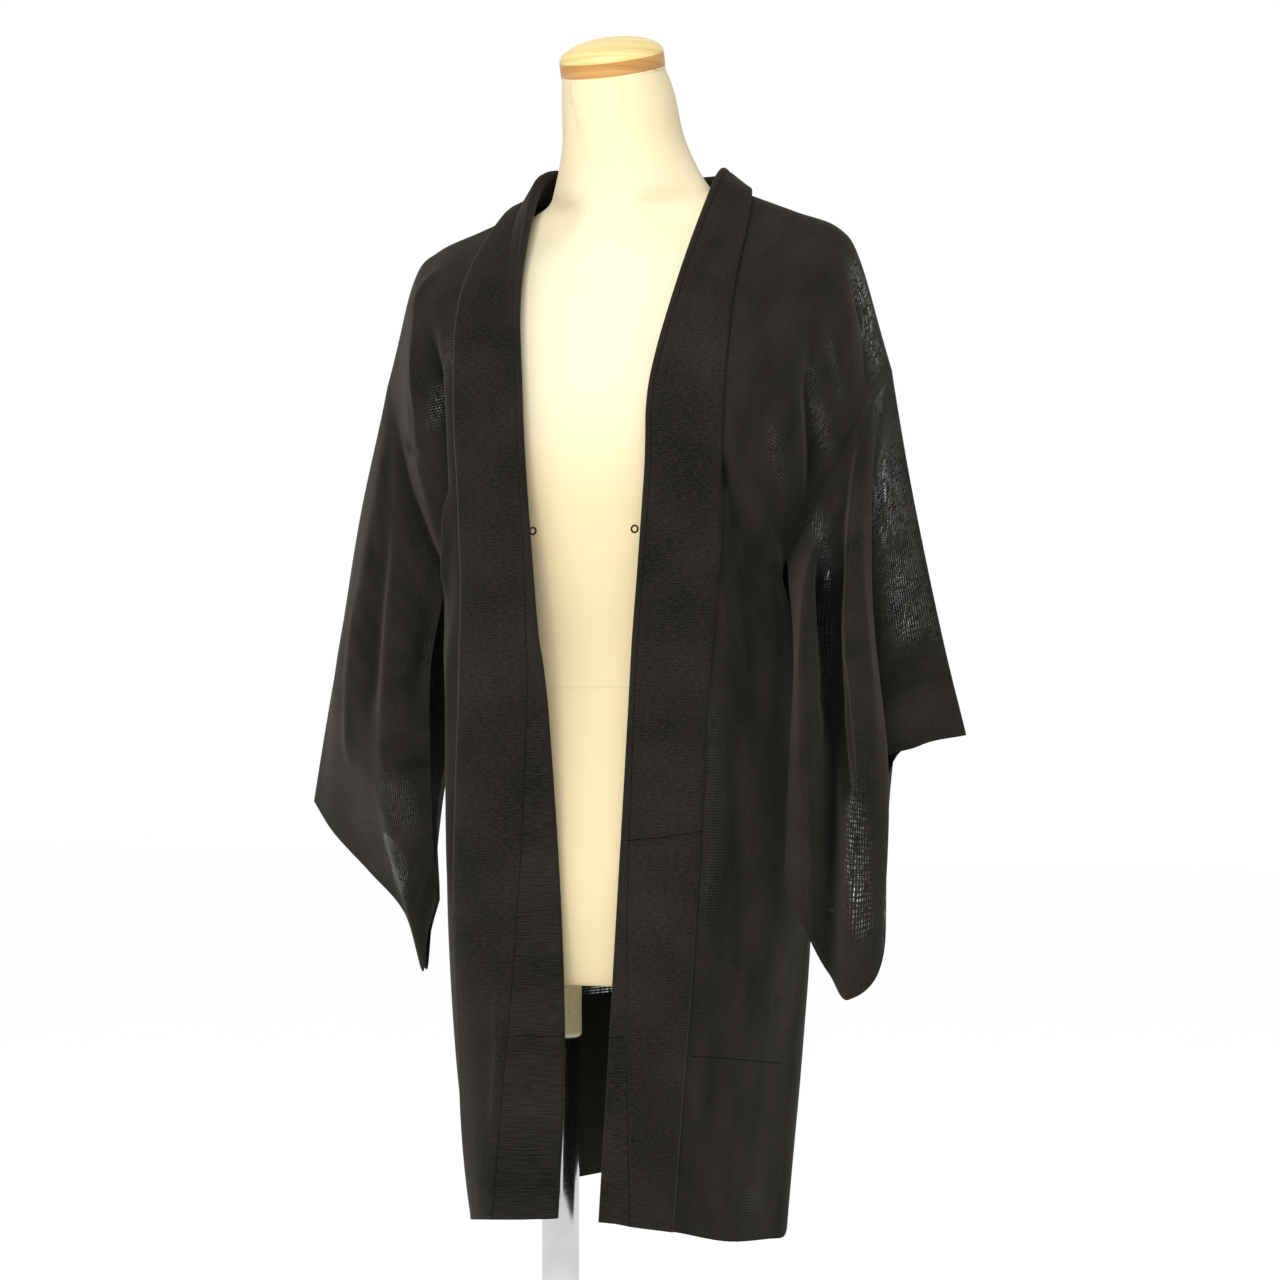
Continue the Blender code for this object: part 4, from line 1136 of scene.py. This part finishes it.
# ---------------------------------------------------------------- pieces of the jacket
class HAORI_OT_body(bpy.types.Operator):
    """Cuts and drapes the two body lengths, front hem over the shoulder to back hem"""
    bl_idname = "haori.body"
    bl_label = "Body lengths"

    def execute(self, context):
        for word in SIDES:
            sides = garment(word)
            grid = sides["body"]
            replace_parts(cloth("length_" + word, grid, sheer_cloth()), "body_" + word)
            whole = lengths(grid)[1][-1]
            front_hem = lengthwise(grid, 0, HEM_DEPTH["front"])
            back_hem = lengthwise(grid, whole - HEM_DEPTH["back"], whole)
            side_seam = [row[::-1] for row in grid]
            for part, inner in (
                    ("hem_facing_front", inside(front_hem, FACING_INSET)),
                    ("hem_facing_back", inside(back_hem, FACING_INSET)),
                    ("gore_turning_front", turning(side_seam[:sides["gore_top"] + 1])),
                    ("gore_turning_back", turning(side_seam[sides["back_top"]:])),
                    ("centre_turning", turning(grid[sides["nape"]:])),
                    ("neck_turning", inside(sides["neck_seam"], FACING_INSET / 2))):
                cloth(part + "_" + word, inner, doubled_cloth())
        return {"FINISHED"}


class HAORI_OT_gores(bpy.types.Operator):
    """Sets the narrow side gores between front and back"""
    bl_idname = "haori.gores"
    bl_label = "Side gores"

    def execute(self, context):
        for word in SIDES:
            piece = cloth("side_gore_" + word, garment(word)["gore"], doubled_cloth())
            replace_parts(piece, "gore_" + word)
        return {"FINISHED"}


class HAORI_OT_sleeves(bpy.types.Operator):
    """Sews the hanging bag sleeves, with their cuff facings and armhole turnings"""
    bl_idname = "haori.sleeves"
    bl_label = "Bag sleeves"

    def execute(self, context):
        for word in SIDES:
            grid = garment(word)["sleeve"]
            piece = cloth("bag_sleeve_" + word, grid, sheer_cloth(), along_rows=False)
            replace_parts(piece, "sleeve_" + word)
            low, high = [round(part * (len(grid[0]) - 1)) for part in CUFF_SHARE[word]]
            span = [row[low:high + 1] for row in grid]
            whole = lengths(span)[1][-1]
            cuff = lengthwise(span, whole - CUFF_DEPTH, whole)
            seam = lengthwise(grid, 0, TURNING + LEAD)
            under = [a + (a - b).normalized() * OVERLAP for a, b in zip(*seam[:2])]
            for part, rows in (("cuff_facing", cuff), ("armhole_turning", [under] + seam)):
                cloth(part + "_" + word, inside(rows, FACING_INSET), doubled_cloth(),
                      along_rows=False)
        return {"FINISHED"}


class HAORI_OT_collar(bpy.types.Operator):
    """Folds the long doubled collar band down both fronts and round the neck"""
    bl_idname = "haori.collar"
    bl_label = "Collar band"

    def execute(self, context):
        left, right = [garment(word)["collar"] for word in SIDES]
        coarse = refine(left + right[-2::-1], ROWS_PER_STEP)
        grid = crease(coarse, "collar", lambda j, i: min(1.0, i / COLLAR_GROOVE), RIPPLE / 3)
        for row, line in zip(grid, outward(grid)):
            for column, roll in zip((-1, -2), EDGE_ROLL):
                row[column] -= line[column] * roll
        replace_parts(cloth("collar_band", grid, doubled_cloth(), wall=COLLAR_WALL), "collar")
        groove = [row[COLLAR_GROOVE] + line[COLLAR_GROOVE] * COLLAR_WALL / 2
                  for row, line in zip(grid, outward(grid))]
        name = "collar_stitches"
        placed(name, tube(name, groove, COLLAR_THREAD, STITCH_SIDES, sewing()))
        return {"FINISHED"}


class HAORI_OT_sewing(bpy.types.Operator):
    """Runs the lines of stitches along the facings and the painted shade line along the collar's
    cross crease
    """
    bl_idname = "haori.sewing"
    bl_label = "Sewn lines"

    def execute(self, context):
        for line in LINES:
            sewn_line(*line)
        return {"FINISHED"}


class HAORI_OT_loops(bpy.types.Operator):
    """Twists the small cord loops that take the tie"""
    bl_idname = "haori.loops"
    bl_label = "Tie loops"

    def execute(self, context):
        for word in SIDES:
            low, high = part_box("loop_" + word)
            centre = (Vector(low) + Vector(high)) / 2
            radius = (high[0] - low[0]) / 2 - LOOP_CORD
            name = "tie_loop_" + word
            places = circle(centre, radius, Vector((1, 0, 0)), Vector((0, 0, 1)))
            piece = placed(name, tube(name, places, LOOP_CORD, RING_SIDES, doubled_cloth(),
                                      closed=True, twists=LOOP_TWISTS))
            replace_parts(piece, "loop_" + word)
        return {"FINISHED"}


# ---------------------------------------------------------------- dress form and stand
def form_rings():
    """Level sections of the form, each with its first places repeated at both ends."""
    rings = []
    for row in FORM:
        ring = dict(zip(FORM_COLUMNS, [size / MM for size in row]))
        loop = []
        for k in range(FORM_SIDES):
            angle = TWO_PI * k / FORM_SIDES
            c, s = math.cos(angle), math.sin(angle)
            reach = ring["front_y"] if s < 0 else ring["back_y"]
            x = ring["core"] * c + (ring["half_width"] - ring["core"]) * c ** WING_POWER
            y = ring["widest_y"] + (reach - ring["widest_y"]) * abs(s)
            z = ring["z"] + (y - ring["widest_y"]) * NECK_TILT * ring["tilt"]
            loop.append(Vector((x, y, z)))
        rings.append(loop[-FORM_REPEAT:] + loop + loop[:FORM_REPEAT + 1])
    return rings


class HAORI_OT_form(bpy.types.Operator):
    """Covers the dress form in jersey and sets its wooden cap"""
    bl_idname = "haori.form"
    bl_label = "Dress form"

    def execute(self, context):
        look = context.scene.haori_look
        cover = made("jersey_cover", jersey)
        ends = FORM_REPEAT * FORM_FINE
        fine = [row[ends:-ends] for row in refine(form_rings(), FORM_ROWS_PER_RING, FORM_FINE)]
        width = len(fine[0]) - 1
        points = [point - normal * FORM_INSET
                  for row, line in zip(fine, normals(fine, FORM_MIDDLE))
                  for point, normal in list(zip(row, line))[:width]]
        faces = quads(len(fine), width, wrap=True) + lids(len(fine), width)
        name = "torso_cover"
        piece = placed(name, shaped(name, points, faces, cover, sharp=True))
        shoulders = piece.vertex_groups.new(name="shoulders")
        shoulders.add([k for k, point in enumerate(points) if BLEND_LOW < point.z < BLEND_HIGH],
                      1.0, "REPLACE")
        blend = piece.modifiers.new("blend", "SMOOTH")
        blend.vertex_group = "shoulders"
        blend.iterations = BLEND_PASSES
        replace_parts(piece, "form_torso")

        tilt = math.atan(NECK_TILT)
        centre = Vector((0, NECK_Y, NECK_TOP))
        across, up = Vector((1, 0, 0)), Vector((0, math.cos(tilt), math.sin(tilt)))
        rim = circle(centre, NECK_RIM, across, up)
        placed("neck_rim", tube("neck_rim", rim, NECK_RIM_CORD, RING_SIDES, cover, closed=True))

        quarter = [math.pi / 2 * k / DOME_STEPS for k in range(DOME_STEPS)]
        dome = [(CAP_RADIUS * math.sin(angle), CAP_RIM + CAP_DOME * math.cos(angle))
                for angle in quarter]
        edge = [(CAP_RADIUS - inset, height) for inset, height in CAP_EDGE]
        crown = made("cap_crown", wood, look.dome_dark, look.dome_light)
        cap = turned("neck_cap", dome + edge + [(0, 0)], crown)
        cap.data.materials.append(made("cap_rim", wood, look.rim_dark, look.rim_light))
        for face in cap.data.polygons:
            face.material_index = int(face.center.z < CAP_RIM)
        lean = Matrix.Translation(centre + Vector((0, 0, SEAM / math.cos(tilt))))
        cap.data.transform(lean @ Matrix.Rotation(tilt, 4, "X"))
        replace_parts(cap, "form_cap")
        return {"FINISHED"}


def rounded(radius, bottom, top, corner):
    """Profile of a disc with rounded rims, top to bottom, closed on the axis."""
    turns = [math.pi / 2 * k / CORNER_STEPS for k in range(CORNER_STEPS + 1)]
    upper = [(radius - corner + corner * math.sin(turn), top - corner + corner * math.cos(turn))
             for turn in turns]
    lower = [(radius - corner + corner * math.cos(turn), bottom + corner - corner * math.sin(turn))
             for turn in turns]
    return [(0, top)] + upper + lower + [(0, bottom)]


class HAORI_OT_stand(bpy.types.Operator):
    """Turns the socket, pole, boss and round base plate"""
    bl_idname = "haori.stand"
    bl_label = "Stand"

    def execute(self, context):
        pole = made("plated_pole", plated, (0.58, 0.66), (60.0, 60.0, 900.0))
        base = made("plated_base", plated, (0.46, 0.52), (500.0, 500.0, 40.0))
        beige = made("socket_plastic", moulded)
        for node, name, corner, finish, slot in (
                ("form_socket", "pole_socket", 0.003, beige, "socket"),
                ("form_pole", "pole", 0.0004, pole, "steel"),
                ("form_boss", "base_boss", 0.004, base, "steel"),
                ("form_plate", "base_plate", 0.003, base, "steel")):
            low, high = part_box(node)
            profile = rounded((high[0] - low[0]) / 2, low[2], high[2], corner)
            piece = turned(name, profile, finish)
            middle = ((low[0] + high[0]) / 2, (low[1] + high[1]) / 2, 0)
            piece.data.transform(Matrix.Translation(middle))
            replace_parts(piece, node)
        return {"FINISHED"}


# ---------------------------------------------------------------- studio
def staged(name, data):
    """An object of the studio, linked to the scene."""
    thing = bpy.data.objects.new(name, data)
    bpy.context.scene.collection.objects.link(thing)
    return thing


class HAORI_OT_studio(bpy.types.Operator):
    """Lays the pale floor, hangs the soft light and sets the camera"""
    bl_idname = "haori.studio"
    bl_label = "Studio"

    def execute(self, context):
        scene = context.scene
        look = scene.haori_look
        scene.view_settings.view_transform = "Standard"
        world = bpy.data.worlds.new("studio")
        world.use_nodes = True
        world.node_tree.nodes.clear()
        scene.world = world
        sky = Nodes(world.node_tree)
        seen, glossy = [sky.node("ShaderNodeLightPath", output=name)
                        for name in ("Is Camera Ray", "Is Glossy Ray")]
        shown = sky.node("ShaderNodeMath", {"operation": "MAXIMUM"}, n0=seen, n1=glossy)
        room, backdrop = [sky.node("ShaderNodeBackground", color=(1, 1, 1, 1), strength=strength)
                          for strength in (look.room, 1.0)]
        mix = sky.node("ShaderNodeMixShader", n0=shown, n1=room, n2=backdrop)
        sky.node("ShaderNodeOutputWorld", surface=mix)

        reach = FLOOR_REACH
        corners = [(-reach, -reach, 0), (reach, -reach, 0), (reach, reach, 0), (-reach, reach, 0)]
        ground = shaped("floor", corners, [(0, 1, 2, 3)], made("floor_paper", paper))
        staged("floor", ground)

        lamp = bpy.data.lights.new("soft_box", "AREA")
        lamp.energy = look.key
        lamp.size = KEY_SIZE
        light = staged("soft_box", lamp)
        light.location = KEY_PLACE
        aim = FORM_MIDDLE - Vector(KEY_PLACE)
        light.rotation_euler = aim.to_track_quat("-Z", "Y").to_euler()

        turn = math.radians(CAMERA_TURN)
        lens = bpy.data.cameras.new("camera")
        lens.sensor_width = SENSOR
        lens.lens = CAMERA_LENS
        lens.shift_x, lens.shift_y = CAMERA_SHIFT
        camera = staged("camera", lens)
        camera.location = (math.sin(turn) * CAMERA_DISTANCE, -math.cos(turn) * CAMERA_DISTANCE,
                           CAMERA_HEIGHT)
        camera.rotation_euler = (math.pi / 2, 0, turn)
        scene.camera = camera
        return {"FINISHED"}


class HAORI_PT_panel(bpy.types.Panel):
    """Lists the pieces in the order in which they are made"""
    bl_idname = "HAORI_PT_panel"
    bl_label = "Haori"
    bl_space_type = "VIEW_3D"
    bl_region_type = "UI"
    bl_category = "Haori"

    def draw(self, context):
        column = self.layout.column()
        for name in HaoriLook.__annotations__:
            column.prop(context.scene.haori_look, name)
        for step in STEPS:
            column.operator(step.bl_idname)


STEPS = (HAORI_OT_body, HAORI_OT_gores, HAORI_OT_sleeves, HAORI_OT_collar, HAORI_OT_sewing,
         HAORI_OT_loops, HAORI_OT_form, HAORI_OT_stand, HAORI_OT_studio)


def register():
    for kind in (HaoriLook, *STEPS, HAORI_PT_panel):
        bpy.utils.register_class(kind)
    bpy.types.Scene.haori_look = bpy.props.PointerProperty(type=HaoriLook)


def unregister():
    del bpy.types.Scene.haori_look
    for kind in (HAORI_PT_panel, *reversed(STEPS), HaoriLook):
        bpy.utils.unregister_class(kind)


def main():
    register()
    for step in STEPS:
        group, action = step.bl_idname.split(".")
        getattr(getattr(bpy.ops, group), action)()


if __name__ == "__main__":
    main()
